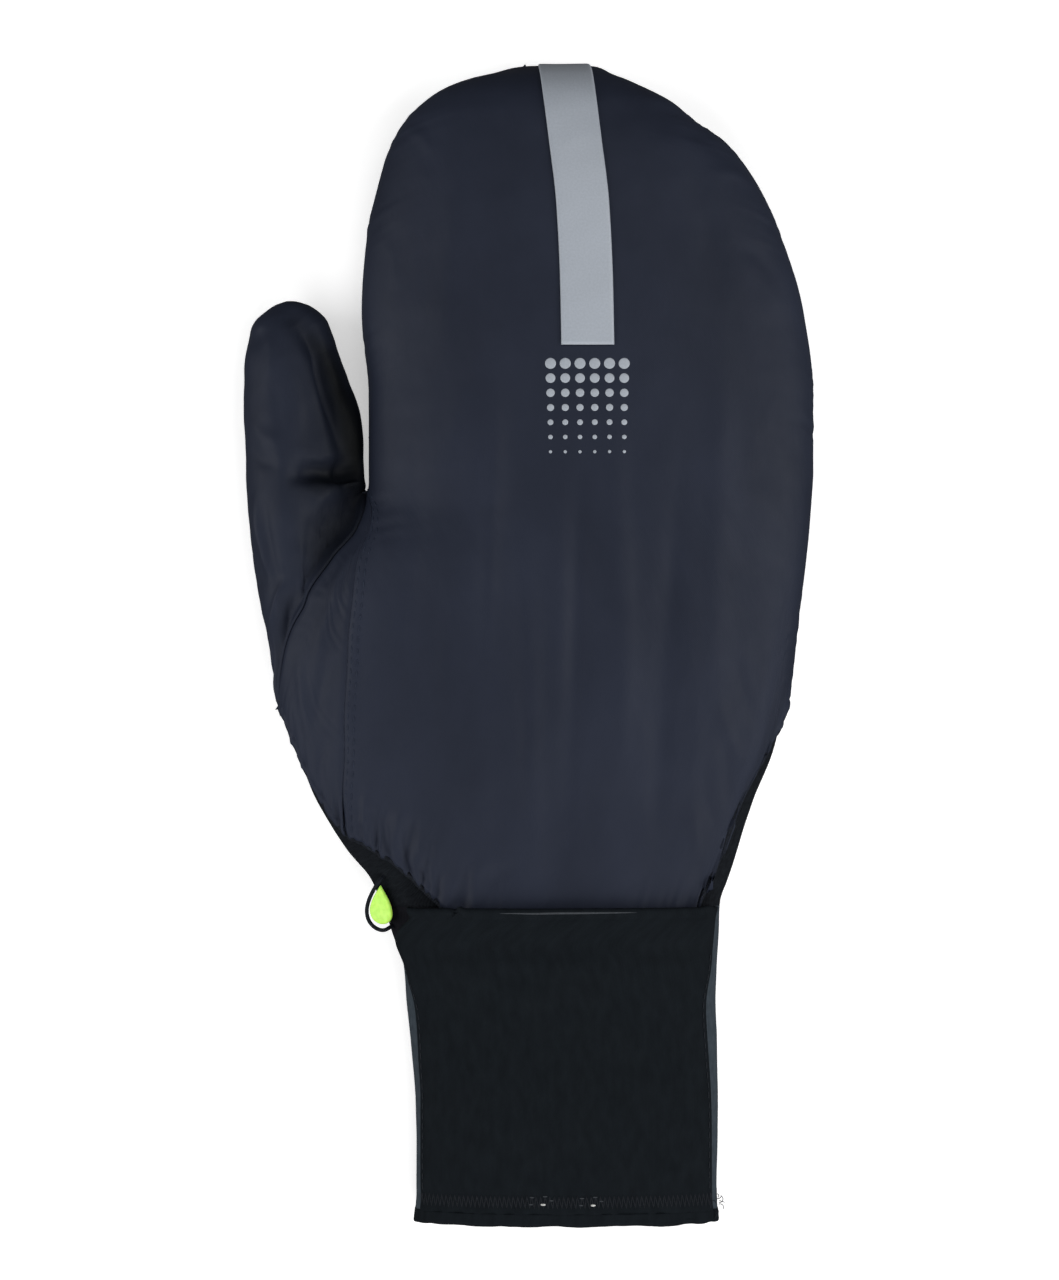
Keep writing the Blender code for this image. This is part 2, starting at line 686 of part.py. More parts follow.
def cuff_hem():
    """The folded hem round the cuff's mouth, as thick as the layers that it closes."""
    top = -1 + CUFF_HEM_DEPTH / CUFF_LENGTH
    mesh = bmesh.new()
    rings = []
    for k in range(CUFF_COLUMNS):
        angle = FULL_TURN * k / CUFF_COLUMNS
        lift = ease(math.sin(angle), *HEM_RISE) * (FIT_GAP + POCKET_CLOTH)
        corners = ((top, lift), (-1.0, lift), (-1.0, -CUFF_CLOTH), (top, -CUFF_CLOTH))
        rings.append([mesh.verts.new(skin(angle, along, height)) for along, height in corners])
    for k in range(CUFF_COLUMNS):
        near, far = rings[k - 1], rings[k]
        for j in range(4):
            mesh.faces.new((near[j], near[(j + 1) % 4], far[(j + 1) % 4], far[j]))
    bmesh.ops.recalc_face_normals(mesh, faces=mesh.faces[:])
    data = bpy.data.meshes.new("cuff_hem")
    mesh.to_mesh(data)
    mesh.free()
    return add_object("cuff_hem", data, BLACK_STRETCH)


def tube(name, path, radius, look, cyclic=False):
    """A round cord or binding along a path."""
    curve = bpy.data.curves.new(name, "CURVE")
    curve.dimensions = "3D"
    curve.bevel_depth = radius
    curve.bevel_resolution = 1
    curve.use_fill_caps = not cyclic
    spline = curve.splines.new("POLY")
    spline.points.add(len(path) - 1)
    for point, place in zip(spline.points, path):
        point.co = (*place, 1.0)
    spline.use_cyclic_u = cyclic
    return add_object(name, curve, look)


def hem_angles():
    """Angles of the corners of the panels' lower edges, once round the hand."""
    foot_angle = seam_angle(SEAM_ROWS[0][0])
    angles = [foot_angle * share for share in spaced(THUMB_PANEL_COLUMNS)][:-1]
    angles += [mix(foot_angle, HALF_TURN, share) for share in back_columns()][:-1]
    angles += [mix(HALF_TURN, FULL_TURN, share) for share in spaced(PALM_COLUMNS)][:-1]
    return angles


def hood_hem():
    """The elastic edge, one loop that follows the hood's lower end all round the hand."""
    angles = hem_angles()
    edge = []
    for angle in angles:
        upper = PANEL_GAP * ease(math.sin(angle), -0.05, 0.05)
        edge.append(skin(angle, hem_along(angle), HOOD_LIFT) + Vector((0, 0, upper)))
    count = len(edge)
    path = []
    for k, angle in enumerate(angles):
        normal = body_normal(angle, hem_along(angle))
        run = (edge[(k + 1) % count] - edge[k]).normalized() + (edge[k] - edge[k - 1]).normalized()
        away = run.cross(normal).normalized()
        centre = edge[k] + away * (HEM_RADIUS + FIT_GAP * 2) - normal * (HEM_RADIUS - FIT_GAP / 2)
        centre.z = max(centre.z, HEM_RADIUS + FIT_GAP / 2)
        path.append(centre)
    return tube("hood_hem", path, HEM_RADIUS, DARK_ELASTIC, cyclic=True)


def reflective_stripe():
    """Silver tape over the hood, from the fingertip edge down the back of the fingers."""
    grid = []
    for down in spaced(STRIPE_LENGTHS, TIP_CROWDING):
        along = mix(1.0, STRIPE_ROWS[0][0], down)
        left, right = read(BODY, along)[:2]
        middle, half = (left + right) / 2, (right - left) / 2
        row = []
        for share in spaced(STRIPE_COLUMNS):
            across = HOOD_WIDTH * read(STRIPE, along)[0] + STRIPE_WIDTH * (share - 0.5)
            angle = math.acos(min(max((middle - across) / half, -0.9), 0.9))
            row.append(hood_skin(angle, along, TAPE_LIFT))
        grid.append(row)
    return cloth("reflective_stripe", grid, TAPE_CLOTH, SILVER_TAPE)


def teardrop(share, grow=0.0):
    """A point of the tab's outline, from its pointed end at 0 once round."""
    turn = FULL_TURN * share
    width = TAB_WIDTH / 2 * math.sin(turn) * abs(math.sin(turn / 2)) ** TAB_POINT * TAB_FULLNESS
    place = Vector((width, TAB_LENGTH / 2 * math.cos(turn), 0))
    return place * (1 + grow / (TAB_WIDTH / 2))


def wrist_tab():
    """The neon pull tab and the binding round its outer side, leaning on the glove's edge at the wrist."""
    tilt = TAB_TURNS[1]
    seat = skin(*TAB_SEAT, FIT_GAP + TAB_THICKNESS)
    centre = seat + Vector((-TAB_WIDTH / 2 * math.cos(tilt), 0, TAB_WIDTH / 2 * math.sin(tilt)))

    curve = bpy.data.curves.new("wrist_tab", "CURVE")
    curve.dimensions = "2D"
    curve.fill_mode = "BOTH"
    curve.extrude = TAB_THICKNESS / 2
    outline = [teardrop(k / TAB_SIDES) for k in range(TAB_SIDES)]
    spline = curve.splines.new("POLY")
    spline.points.add(len(outline) - 1)
    for point, place in zip(spline.points, outline):
        point.co = (*place, 1.0)
    spline.use_cyclic_u = True
    tab = add_object("wrist_tab", curve, NEON_RUBBER)

    clear_of_tab = 1.6 * (TAB_CORD_RADIUS + FIT_GAP)
    path = [teardrop(mix(*TAB_BOUND, share), clear_of_tab) for share in spaced(TAB_SIDES // 2)]
    binding = tube("tab_loop", path, TAB_CORD_RADIUS, DARK_ELASTIC)
    for piece in (tab, binding):
        piece.location = centre
        piece.rotation_euler = TAB_TURNS


for old in list(bpy.data.objects):
    bpy.data.objects.remove(old)

glove = bpy.data.collections.new("winter_cycling_glove")
bpy.context.scene.collection.children.link(glove)

hood_back()
hood_thumb_panel()
hood_palm()
thumb_cover()
glove_hand()
cuff_tube()
cuff_pocket()
cuff_hem()
hood_hem()
reflective_stripe()
wrist_tab()
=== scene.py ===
# Looks of a winter cycling glove for the right hand, lying palm down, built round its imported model.
# Every layer follows one body surface: an angle runs round the hand and a station runs along it.

import math

import bmesh
import bpy
import numpy as np
from mathutils import Euler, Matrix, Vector


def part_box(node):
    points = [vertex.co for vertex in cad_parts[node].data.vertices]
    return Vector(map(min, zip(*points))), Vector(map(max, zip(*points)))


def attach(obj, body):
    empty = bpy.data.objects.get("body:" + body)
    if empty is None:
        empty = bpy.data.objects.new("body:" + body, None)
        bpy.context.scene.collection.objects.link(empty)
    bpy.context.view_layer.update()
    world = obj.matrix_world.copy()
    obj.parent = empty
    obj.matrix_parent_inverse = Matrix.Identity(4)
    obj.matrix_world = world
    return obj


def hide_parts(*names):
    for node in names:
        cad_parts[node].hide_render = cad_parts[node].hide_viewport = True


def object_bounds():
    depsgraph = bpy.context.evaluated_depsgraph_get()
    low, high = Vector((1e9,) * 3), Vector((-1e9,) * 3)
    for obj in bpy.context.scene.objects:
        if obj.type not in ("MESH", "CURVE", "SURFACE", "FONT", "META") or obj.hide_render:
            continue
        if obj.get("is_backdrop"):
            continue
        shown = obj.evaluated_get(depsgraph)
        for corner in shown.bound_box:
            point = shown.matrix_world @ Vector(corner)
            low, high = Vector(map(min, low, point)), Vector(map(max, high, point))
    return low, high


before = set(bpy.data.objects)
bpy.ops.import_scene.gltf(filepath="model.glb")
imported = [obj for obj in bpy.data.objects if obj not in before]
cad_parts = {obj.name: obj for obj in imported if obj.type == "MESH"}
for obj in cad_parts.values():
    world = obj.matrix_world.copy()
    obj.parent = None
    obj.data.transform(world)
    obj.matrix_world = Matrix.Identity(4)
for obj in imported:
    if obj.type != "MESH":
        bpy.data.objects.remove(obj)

# The frame says where the glove ends, and these are the sizes that its layers share, in metres
LOW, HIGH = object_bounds()
CUFF_LENGTH = 0.0793
CUFF_HEM_DEPTH = 0.0032
THUMB_LENGTH = 0.0478
THUMB_OPENING = 0.0538
HOOD_WIDTH = 0.1134
WRIST_WIDTH = 0.0838
CUFF_WIDTH = 0.0760
THUMB_WIDTH = 0.0303
STRIPE_WIDTH = 0.0128
PALM_HEIGHT = 0.0310
WRIST_HEIGHT = 0.0210
CUFF_HEIGHT = 0.0180
THUMB_HEIGHT = 0.0235
HOOD_CLOTH = 0.0011
GLOVE_CLOTH = 0.0016
CUFF_CLOTH = 0.0015
POCKET_CLOTH = 0.0012
TAPE_CLOTH = 0.0005
FIT_GAP = 0.0003
PANEL_GAP = 0.0005
HOOD_LIFT = HOOD_CLOTH + FIT_GAP
TAPE_LIFT = TAPE_CLOTH + FIT_GAP
WRIST_Y = LOW.y + CUFF_LENGTH
HAND_LENGTH = HIGH.y - WRIST_Y - HOOD_LIFT - TAPE_LIFT

# Sections from the cuff's mouth at -1, by the wrist at 0, to the fingertips at 1, grouped by width and height
# Left and right are shares of that width from the hand's axis, and the rest are shares of that height
# along, left, right, crown, seam, floor
BODY_ROWS = (
    (CUFF_WIDTH, CUFF_HEIGHT, (
        (-1.000, -0.574, 0.436, 1.00, 0.44, 0.00),
        (-0.899, -0.564, 0.429, 1.00, 0.44, 0.00),
        (-0.615, -0.567, 0.433, 1.04, 0.44, 0.00),
        (-0.457, -0.581, 0.429, 1.05, 0.45, 0.00),
        (-0.300, -0.597, 0.426, 1.09, 0.46, 0.00),
        (-0.189, -0.607, 0.429, 1.12, 0.47, 0.00),
        (-0.110, -0.636, 0.433, 1.13, 0.48, 0.00),
    )),
    (WRIST_WIDTH, WRIST_HEIGHT, (
        (0.000, -0.616, 0.396, 1.00, 0.43, 0.00),
        (0.030, -0.646, 0.419, 1.03, 0.44, 0.00),
        (0.066, -0.718, 0.449, 1.08, 0.46, 0.00),
    )),
    (HOOD_WIDTH, PALM_HEIGHT, (
        (0.125, -0.597, 0.366, 0.79, 0.33, 0.00),
        (0.185, -0.641, 0.410, 0.86, 0.34, 0.00),
        (0.245, -0.668, 0.434, 0.91, 0.35, 0.00),
        (0.304, -0.674, 0.447, 0.95, 0.36, 0.00),
        (0.364, -0.656, 0.459, 0.98, 0.36, 0.00),
        (0.412, -0.592, 0.470, 1.00, 0.36, 0.00),
        (0.448, -0.518, 0.477, 1.00, 0.36, 0.00),
        (0.484, -0.476, 0.482, 1.00, 0.36, 0.00),
        (0.520, -0.470, 0.486, 1.00, 0.36, 0.00),
        (0.615, -0.471, 0.486, 0.98, 0.35, 0.00),
        (0.710, -0.486, 0.465, 0.96, 0.34, 0.00),
        (0.806, -0.474, 0.412, 0.92, 0.33, 0.00),
        (0.854, -0.454, 0.372, 0.89, 0.33, 0.00),
        (0.902, -0.428, 0.311, 0.84, 0.32, 0.00),
        (0.940, -0.388, 0.217, 0.78, 0.32, 0.00),
        (0.956, -0.357, 0.184, 0.74, 0.32, 0.01),
        (0.969, -0.324, 0.142, 0.69, 0.32, 0.03),
        (0.983, -0.263, 0.085, 0.60, 0.31, 0.08),
        (0.9905, -0.206, 0.050, 0.52, 0.31, 0.14),
        (0.9975, -0.162, 0.027, 0.40, 0.31, 0.22),
        (1.000, -0.133, 0.014, 0.325, 0.31, 0.295),
    )),
)

# The large folds of the back and the gathers above the hood's hem
# across, from, to, lean, half width, height
BACK_FOLDS = (
    (-0.21, 0.30, 0.62, 0.03, 0.026, -0.030),
    (-0.13, 0.06, 0.44, -0.02, 0.030, 0.028),
    (-0.03, 0.10, 0.52, 0.03, 0.024, -0.028),
    (0.06, 0.20, 0.60, -0.02, 0.028, 0.026),
    (0.17, 0.12, 0.50, 0.04, 0.026, -0.030),
    (0.28, 0.18, 0.66, 0.02, 0.030, 0.024),
    (0.25, 0.74, 0.90, -0.06, 0.030, -0.030),
    (-0.30, 0.64, 0.88, 0.04, 0.034, 0.024),
)
HEM_GATHERS = (
    (-0.445, 0.075, 0.115, 0.01, 0.012, -0.030),
    (-0.390, 0.050, 0.105, 0.01, 0.012, -0.036),
    (-0.350, 0.025, 0.090, 0.02, 0.012, -0.036),
    (-0.275, -0.020, 0.060, 0.02, 0.012, -0.024),
    (0.245, 0.000, 0.060, -0.01, 0.012, -0.030),
    (0.300, 0.120, 0.200, -0.01, 0.014, -0.024),
)
SLACK_UNDER_HOOD = 0.045
# Creases across the cuff: station, ends across, half width, height
CUFF_CREASES = (
    (-0.13, -0.38, 0.36, 0.045, -0.014),
    (-0.24, -0.30, 0.10, 0.050, -0.010),
)

# The hood's hem over the back: angle as a share of the half turn from left to right, and station
HEM_ROWS = (
    (0.000, 0.2350), (0.044, 0.2180), (0.078, 0.1550), (0.100, 0.1080),
    (0.122, 0.0860), (0.172, 0.0700), (0.211, 0.0530), (0.240, 0.0260),
    (0.294, -0.0100), (0.344, -0.0560), (0.500, -0.0780), (0.667, -0.0780),
    (0.778, -0.0540), (0.833, 0.0060), (0.850, 0.0420), (0.867, 0.1020),
    (0.889, 0.1550), (0.906, 0.1900), (0.936, 0.2120), (0.961, 0.2300),
    (1.000, 0.2350),
)
PALM_HEM_ARCH = 0.03
# The stitched seam between the back and the thumb panel: station, and angle as a share of the half turn
SEAM_ROWS = (
    (0.0880, 0.126), (0.1250, 0.168), (0.1850, 0.214), (0.2450, 0.234),
    (0.3050, 0.243), (0.3640, 0.237), (0.4160, 0.188), (0.4600, 0.118),
    (0.4956, 0.030), (0.5200, 0.000),
)
# The opening that the thumb cover is sewn to: share of its length from the crotch, angles above and below
OPENING_ROWS = (
    (0.000, 0.000, 0.000),
    (0.163, 0.086, 0.100),
    (0.284, 0.120, 0.160),
    (0.414, 0.132, 0.180),
    (0.516, 0.132, 0.180),
    (0.623, 0.108, 0.160),
    (0.814, 0.063, 0.100),
    (1.000, 0.000, 0.000),
)
CROTCH_ALONG = 0.4956
# The free thumb from the crotch to its tip: along, left, right, crown, floor
THUMB_ROWS = (
    (0.052, 0.029, 1.020, 0.99, 0.00),
    (0.209, 0.012, 1.012, 0.98, 0.00),
    (0.419, 0.000, 0.977, 0.94, 0.00),
    (0.628, 0.004, 0.857, 0.89, 0.00),
    (0.733, 0.008, 0.800, 0.85, 0.01),
    (0.838, 0.037, 0.742, 0.79, 0.04),
    (0.900, 0.095, 0.697, 0.73, 0.09),
    (0.942, 0.169, 0.643, 0.67, 0.15),
    (0.979, 0.260, 0.556, 0.58, 0.25),
    (0.997, 0.350, 0.449, 0.49, 0.35),
)
# Large folds across the thumb: station, middle and half spread as shares of a turn, half width, height
THUMB_FOLDS = (
    (0.12, 0.16, 0.16, 0.070, -0.060),
    (-0.15, 0.30, 0.18, 0.110, 0.045),
    (0.55, 0.08, 0.10, 0.160, -0.050),
    (0.80, 0.42, 0.12, 0.060, -0.040),
    (-0.45, 0.38, 0.12, 0.060, -0.040),
    (0.28, 0.16, 0.16, 0.400, -0.090),
    (-0.16, 0.15, 0.16, 0.160, -0.080),
)
# The pocket's side edges: station, and angles as shares of the half turn
POCKET_ROWS = (
    (-1.000, 0.100, 0.905),
    (-0.850, 0.090, 0.900),
    (-0.550, 0.100, 0.885),
    (-0.350, 0.115, 0.872),
    (-0.200, 0.100, 0.868),
    (-0.120, 0.090, 0.872),
    (-0.020, 0.200, 0.885),
)
# The middle of the silver tape: station, and place as a share of the hood's width
STRIPE_ROWS = (
    (0.6635, -0.002),
    (0.7410, -0.005),
    (0.8290, -0.013),
    (0.9050, -0.029),
    (1.0000, -0.052),
)

# Shape of a section: a rounded crown over a floor that is flat in its middle
CROWN_POWER = 0.9
FLOOR_POWER = 0.45
FLOOR_REACH = 1.06
# How far up its side, as a sine, the hood's upper half has risen over the lower one
PANEL_RISE = 0.25
HALF_TURN = math.pi
FULL_TURN = 2 * math.pi
# Stations between which the body's floor rises, to make room for the hood's palm below it
UNDER_HOOD = (0.12, 0.22)
# Nearest to a side, as a cosine, that a place on the back is looked up
SIDE_LIMIT = 0.98
# Shares of a ripple's wavelength that add up to it, and the height that they reach
RIPPLE_STRETCHES = (0.62, 0.85, 1.0, 1.37, 1.9)
RIPPLE_HEIGHT = 2.6
# Small creases all over the thin cloth: size, height and seed of the larger and the finer ones
CRUMPLES = ((0.026, 0.00040, 11), (0.011, 0.00018, 12))
CRUMPLE_SOFTNESS = 0.03
CRUMPLE_STRETCH = (0.7, 1.8)
CRUMPLE_BEND = 0.5
CRUMPLE_BEND_LENGTH = (1.2, 2.4)
# How a crease runs out at its ends
CREASE_ENDS = (0.04, 0.96)
CREASE_FADE = 0.6
# Steps of a stitch, and its points: share of its length, rise and width as shares of its radius
STITCH_STEPS = 6
STITCH_POINTS = ((0.0, -1.0, 0.45), (0.12, 0.15, 0.9), (0.5, 0.75, 1.0), (0.88, 0.15, 0.9), (1.0, -1.0, 0.45))
STITCH_SUNK = 0.35

# Places on the glove as the photograph shows them: its pixels, each a quarter of a millimetre
PIXEL = 0.00025
ORIGIN_PX = (528.0, 642.0)
PICTURE_PX = (1059, 1280)
# Focal length and sensor of the camera, in millimetres
LENS = (100.0, 36.0)
# Height of the glove's outline above the surface that it lies on
OUTLINE_Z = 0.011


def prepared(rows):
    """A table as arrays: its stations, its columns and their tangents, which never overshoot its rows."""
    data = np.array(rows, float)
    at, columns = data[:, 0], data[:, 1:]
    secants = np.diff(columns, axis=0) / np.diff(at)[:, None]
    before, after = secants[:-1], secants[1:]
    same_way = before * after > 0
    inner = np.where(same_way, 2 * before * after / np.where(same_way, before + after, 1.0), 0.0)
    return at, columns, np.vstack([secants[:1], inner, secants[-1:]])


def read(table, at):
    """All columns of a prepared table, on smooth curves through its rows. The columns come first."""
    stations, columns, tangents = table
    at = np.clip(at, stations[0], stations[-1])
    index = np.clip(np.searchsorted(stations, at) - 1, 0, len(stations) - 2)
    step = (stations[index + 1] - stations[index])[..., None]
    t = (at - stations[index])[..., None] / step
    curve = ((1 + 2 * t) * (1 - t) ** 2 * columns[index] + t * t * (3 - 2 * t) * columns[index + 1]
             + step * t * (1 - t) ** 2 * tangents[index] + step * t * t * (t - 1) * tangents[index + 1])
    return np.moveaxis(curve, -1, 0)


def ease(value, low, high):
    """0 below low, 1 above high, smooth between."""
    t = np.clip((value - low) / (high - low), 0.0, 1.0)
    return t * t * (3 - 2 * t)


def mix(low, high, share):
    return low + (high - low) * share


def hill(distance, half_width):
    return np.exp(-(distance / half_width) ** 2)


def unit(vectors):
    return vectors / np.maximum(np.linalg.norm(vectors, axis=-1, keepdims=True), 1e-12)


def spaced(count, power=1.0):
    """Shares from 0 to 1, closer together at 0 where the power is above 1."""
    return np.linspace(0.0, 1.0, count + 1) ** power


def at_photo(x, y):
    """A place of the photograph in metres across and along the glove."""
    return (x - ORIGIN_PX[0]) * PIXEL, (ORIGIN_PX[1] - y) * PIXEL


BODY = prepared([
    (along, width * left, width * right, height * crown, height * seam, height * floor)
    for width, height, rows in BODY_ROWS for along, left, right, crown, seam, floor in rows
])
HEM = prepared(HEM_ROWS)
SEAM = prepared(SEAM_ROWS)
OPENING = prepared(OPENING_ROWS)
THUMB = prepared(THUMB_ROWS)
POCKET = prepared(POCKET_ROWS)
STRIPE = prepared(STRIPE_ROWS)

HAND_AXIS = HIGH.x - BODY[1][:, 1].max() - HOOD_LIFT
THUMB_OUTER_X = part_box("thumb_cover")[0].x
CROTCH_Y = WRIST_Y + CROTCH_ALONG * HAND_LENGTH


def y_at(along):
    return WRIST_Y + along * np.where(along >= 0, HAND_LENGTH, CUFF_LENGTH)


def along_at(y):
    return (y - WRIST_Y) / np.where(y >= WRIST_Y, HAND_LENGTH, CUFF_LENGTH)


def fold_height(across, along):
    """Height of the back's folds, gathers and creases at places, as a share of the palm's height."""
    height = np.zeros(np.shape(across))
    for middle, start, end, lean, half_width, depth in BACK_FOLDS + HEM_GATHERS:
        share = (along - start) / (end - start)
        line = middle + lean * (share - 0.5)
        ends = ease(share, -0.2, 0.3) * (1 - ease(share, 0.7, 1.2))
        height += depth * hill(across - line, half_width) * ends
    for middle, start, end, half_width, depth in CUFF_CREASES:
        window = ease(across, start - 0.1, start) * (1 - ease(across, end, end + 0.1))
        height += depth * hill(along - middle, half_width) * window
    return height


def body(angle, along):
    """Points of the body surface: angle 0 is the thumb side, a quarter turn is the back of the hand."""
    angle, along = np.broadcast_arrays(np.asarray(angle, float), np.asarray(along, float))
    left, right, crown, seam, floor = read(BODY, along)
    floor = floor + HOOD_LIFT * ease(along, *UNDER_HOOD)
    across = (left + right) / 2 - (right - left) / 2 * np.cos(angle)
    turn = np.sin(angle)
    up, down = np.clip(turn, 0, 1), np.clip(-turn, 0, 1)
    folds = PALM_HEIGHT * fold_height(across / HOOD_WIDTH, along) * up
    back = seam + (crown - seam) * up ** CROWN_POWER + folds
    palm = seam - (seam - floor) * np.minimum(1.0, FLOOR_REACH * down ** FLOOR_POWER)
    return np.stack([HAND_AXIS + across, y_at(along), np.where(turn >= 0, back, palm)], -1)


def body_normal(angle, along):
    turn_step, along_step = 0.05, 0.003
    before, after = np.maximum(along - along_step, -1.0), np.minimum(along + along_step, 1.0)
    round_hand = body(angle + turn_step, along) - body(angle - turn_step, along)
    return unit(np.cross(round_hand, body(angle, after) - body(angle, before)))


def skin(angle, along, lift):
    """The body surface raised by a distance, which may differ from point to point."""
    return body(angle, along) + body_normal(angle, along) * np.asarray(lift)[..., None]


def slack_skin(angle, along):
    """The black glove's outer surface, which lies below the deepest fold of the hood over it."""
    points = body(angle, along)
    slack = fold_height((points[..., 0] - HAND_AXIS) / HOOD_WIDTH, along)
    slack = slack + SLACK_UNDER_HOOD * ease(along, 0.0, 0.03)
    points[..., 2] -= PALM_HEIGHT * slack * np.clip(np.sin(angle), 0, 1)
    return points


def hood(angle, along, lift=0.0):
    """The hood's outer surface. Its upper half lies a little higher and meets the lower one at the sides."""
    angle, along = np.broadcast_arrays(np.asarray(angle, float), np.asarray(along, float))
    points = skin(angle, along, HOOD_LIFT + np.broadcast_to(lift, angle.shape))
    points[..., 2] += PANEL_GAP * ease(np.sin(angle), 0.0, PANEL_RISE)
    points[..., 2] = np.maximum(points[..., 2], 0.0)
    return points


def hem_along(angle):
    """Station of the hood's hem at any angle round the hand."""
    palm = HEM_ROWS[0][1] + PALM_HEM_ARCH * np.sin(angle - HALF_TURN)
    return np.where(angle <= HALF_TURN, read(HEM, angle / HALF_TURN)[0], palm)


def seam_angle(along):
    """Angle of the stitched seam, which starts at the crotch of the thumb."""
    return HALF_TURN * read(SEAM, along)[0]


def opening_angles(along):
    """Angles above and below the side seam between which the thumb opens, at a station."""
    share = (CROTCH_Y - y_at(along)) / THUMB_OPENING
    return np.where((share > 0) & (share < 1), HALF_TURN * read(OPENING, share), 0.0)


def angle_over(x, along):
    """The angle at which the back of the hand lies over a place across the glove."""
    left, right = read(BODY, along)[:2]
    share = ((left + right) / 2 - (x - HAND_AXIS)) / ((right - left) / 2)
    return np.arccos(np.clip(share, -SIDE_LIMIT, SIDE_LIMIT))


def ripple(at, wavelength, seed):
    """A smooth uneven wave between about -1 and 1, of one dimension."""
    draw = np.random.default_rng(seed)
    total = 0.0
    for stretch in RIPPLE_STRETCHES:
        total = total + np.sin(FULL_TURN * (at / (wavelength * stretch) + draw.random()))
    return total / RIPPLE_HEIGHT


def crumple(x, y, size, seed, waves=9):
    """Low soft creases in all directions, as in thin nylon: sharp where they rise, wide between."""
    draw = np.random.default_rng(seed)

    def bend(at):
        turned = at / size / draw.uniform(*CRUMPLE_BEND_LENGTH) + draw.random() * FULL_TURN
        return size * CRUMPLE_BEND * np.sin(turned)

    total = 0.0
    for _ in range(waves):
        turn = draw.random() * FULL_TURN
        stretch = size * draw.uniform(*CRUMPLE_STRETCH)
        wave = (x + bend(y)) * math.cos(turn) + (y + bend(x)) * math.sin(turn)
        swing = np.sin(math.pi * (wave / stretch + draw.random()))
        total = total + 1 - 2 * np.sqrt(swing ** 2 + CRUMPLE_SOFTNESS)
    return total / waves


def crease(points, path, half_width, height):
    """Height of a fold along a path of the photograph, which runs out softly at its ends."""
    x, y = points[..., 0], points[..., 1]
    stops = [at_photo(*place) for place in path]
    lengths = [math.dist(a, b) for a, b in zip(stops, stops[1:])]
    nearest = np.full(x.shape, math.inf)
    share = np.zeros(x.shape)
    done = 0.0
    for (ax, ay), (bx, by), length in zip(stops, stops[1:], lengths):
        t = np.clip(((x - ax) * (bx - ax) + (y - ay) * (by - ay)) / length ** 2, 0.0, 1.0)
        distance = np.hypot(x - ax - t * (bx - ax), y - ay - t * (by - ay))
        closer = distance < nearest
        nearest = np.where(closer, distance, nearest)
        share = np.where(closer, (done + t * length) / sum(lengths), share)
        done += length
    fade = np.sin(math.pi * np.clip(share, *CREASE_ENDS)) ** CREASE_FADE
    return height * hill(nearest, half_width) * fade


def grid_normals(points, closed=False):
    """Outward directions of a grid of points, rows running along the glove and columns round it."""
    if closed:
        wide = np.concatenate([points[:, -1:], points, points[:, :1]], 1)
        across = wide[:, 2:] - wide[:, :-2]
    else:
        across = np.gradient(points, axis=1)
    return unit(np.cross(across, np.gradient(points, axis=0)))


def lengths_along(points, axis):
    """Distance travelled to each point of a grid along one axis."""
    steps = np.linalg.norm(np.diff(points, axis=axis), axis=-1)
    start = np.zeros_like(np.take(steps, [0], axis=axis))
    return np.concatenate([start, np.cumsum(steps, axis=axis)], axis)


def outward(points, normals, centre_x):
    """1 where a grid's own directions point out of the glove, -1 where they point into it."""
    arm = points - np.array([centre_x, 0.0, OUTLINE_Z])
    return np.sign((normals * arm)[..., [0, 2]].sum())


def add_piece(name, mesh, look, *nodes):
    """A finished piece, which rides with the glove and stands for the named solids."""
    material, slot = look
    mesh.materials.append(material)
    piece = bpy.data.objects.new(name, mesh)
    bpy.context.scene.collection.objects.link(piece)
    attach(piece, "root")
    if nodes:
        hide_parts(*nodes)
    return piece


def mesh_of(name, vertices, faces, weave=None):
    """A smooth mesh, with the place of each point on its cloth."""
    mesh = bpy.data.meshes.new(name)
    mesh.from_pydata(vertices.tolist(), [], faces)
    mesh.update()
    mesh.shade_smooth()
    if weave is not None:
        attribute = mesh.attributes.new("cloth", "FLOAT_VECTOR", "POINT")
        attribute.data.foreach_set("vector", weave.astype(np.float32).ravel())
    return mesh


def marked(piece, name, values):
    """Keep one number for each point of a piece, which its shader reads."""
    attribute = piece.data.attributes.new(name, "FLOAT", "POINT")
    attribute.data.foreach_set("value", values.astype(np.float32).ravel())


def turned_out(mesh):
    """The same mesh, with the faces of each of its closed bodies turned outward."""
    shape = bmesh.new()
    shape.from_mesh(mesh)
    bmesh.ops.recalc_face_normals(shape, faces=shape.faces[:])
    shape.to_mesh(mesh)
    shape.free()
    return mesh


def quads(rows, columns, closed=False):
    """Faces of a grid, their corners in the order that faces outward."""
    index = np.arange(rows * columns).reshape(rows, columns)
    if closed:
        index = np.concatenate([index, index[:, :1]], 1)
    corners = np.stack([index[:-1, :-1], index[:-1, 1:], index[1:, 1:], index[1:, :-1]], -1)
    return corners.reshape(-1, 4)


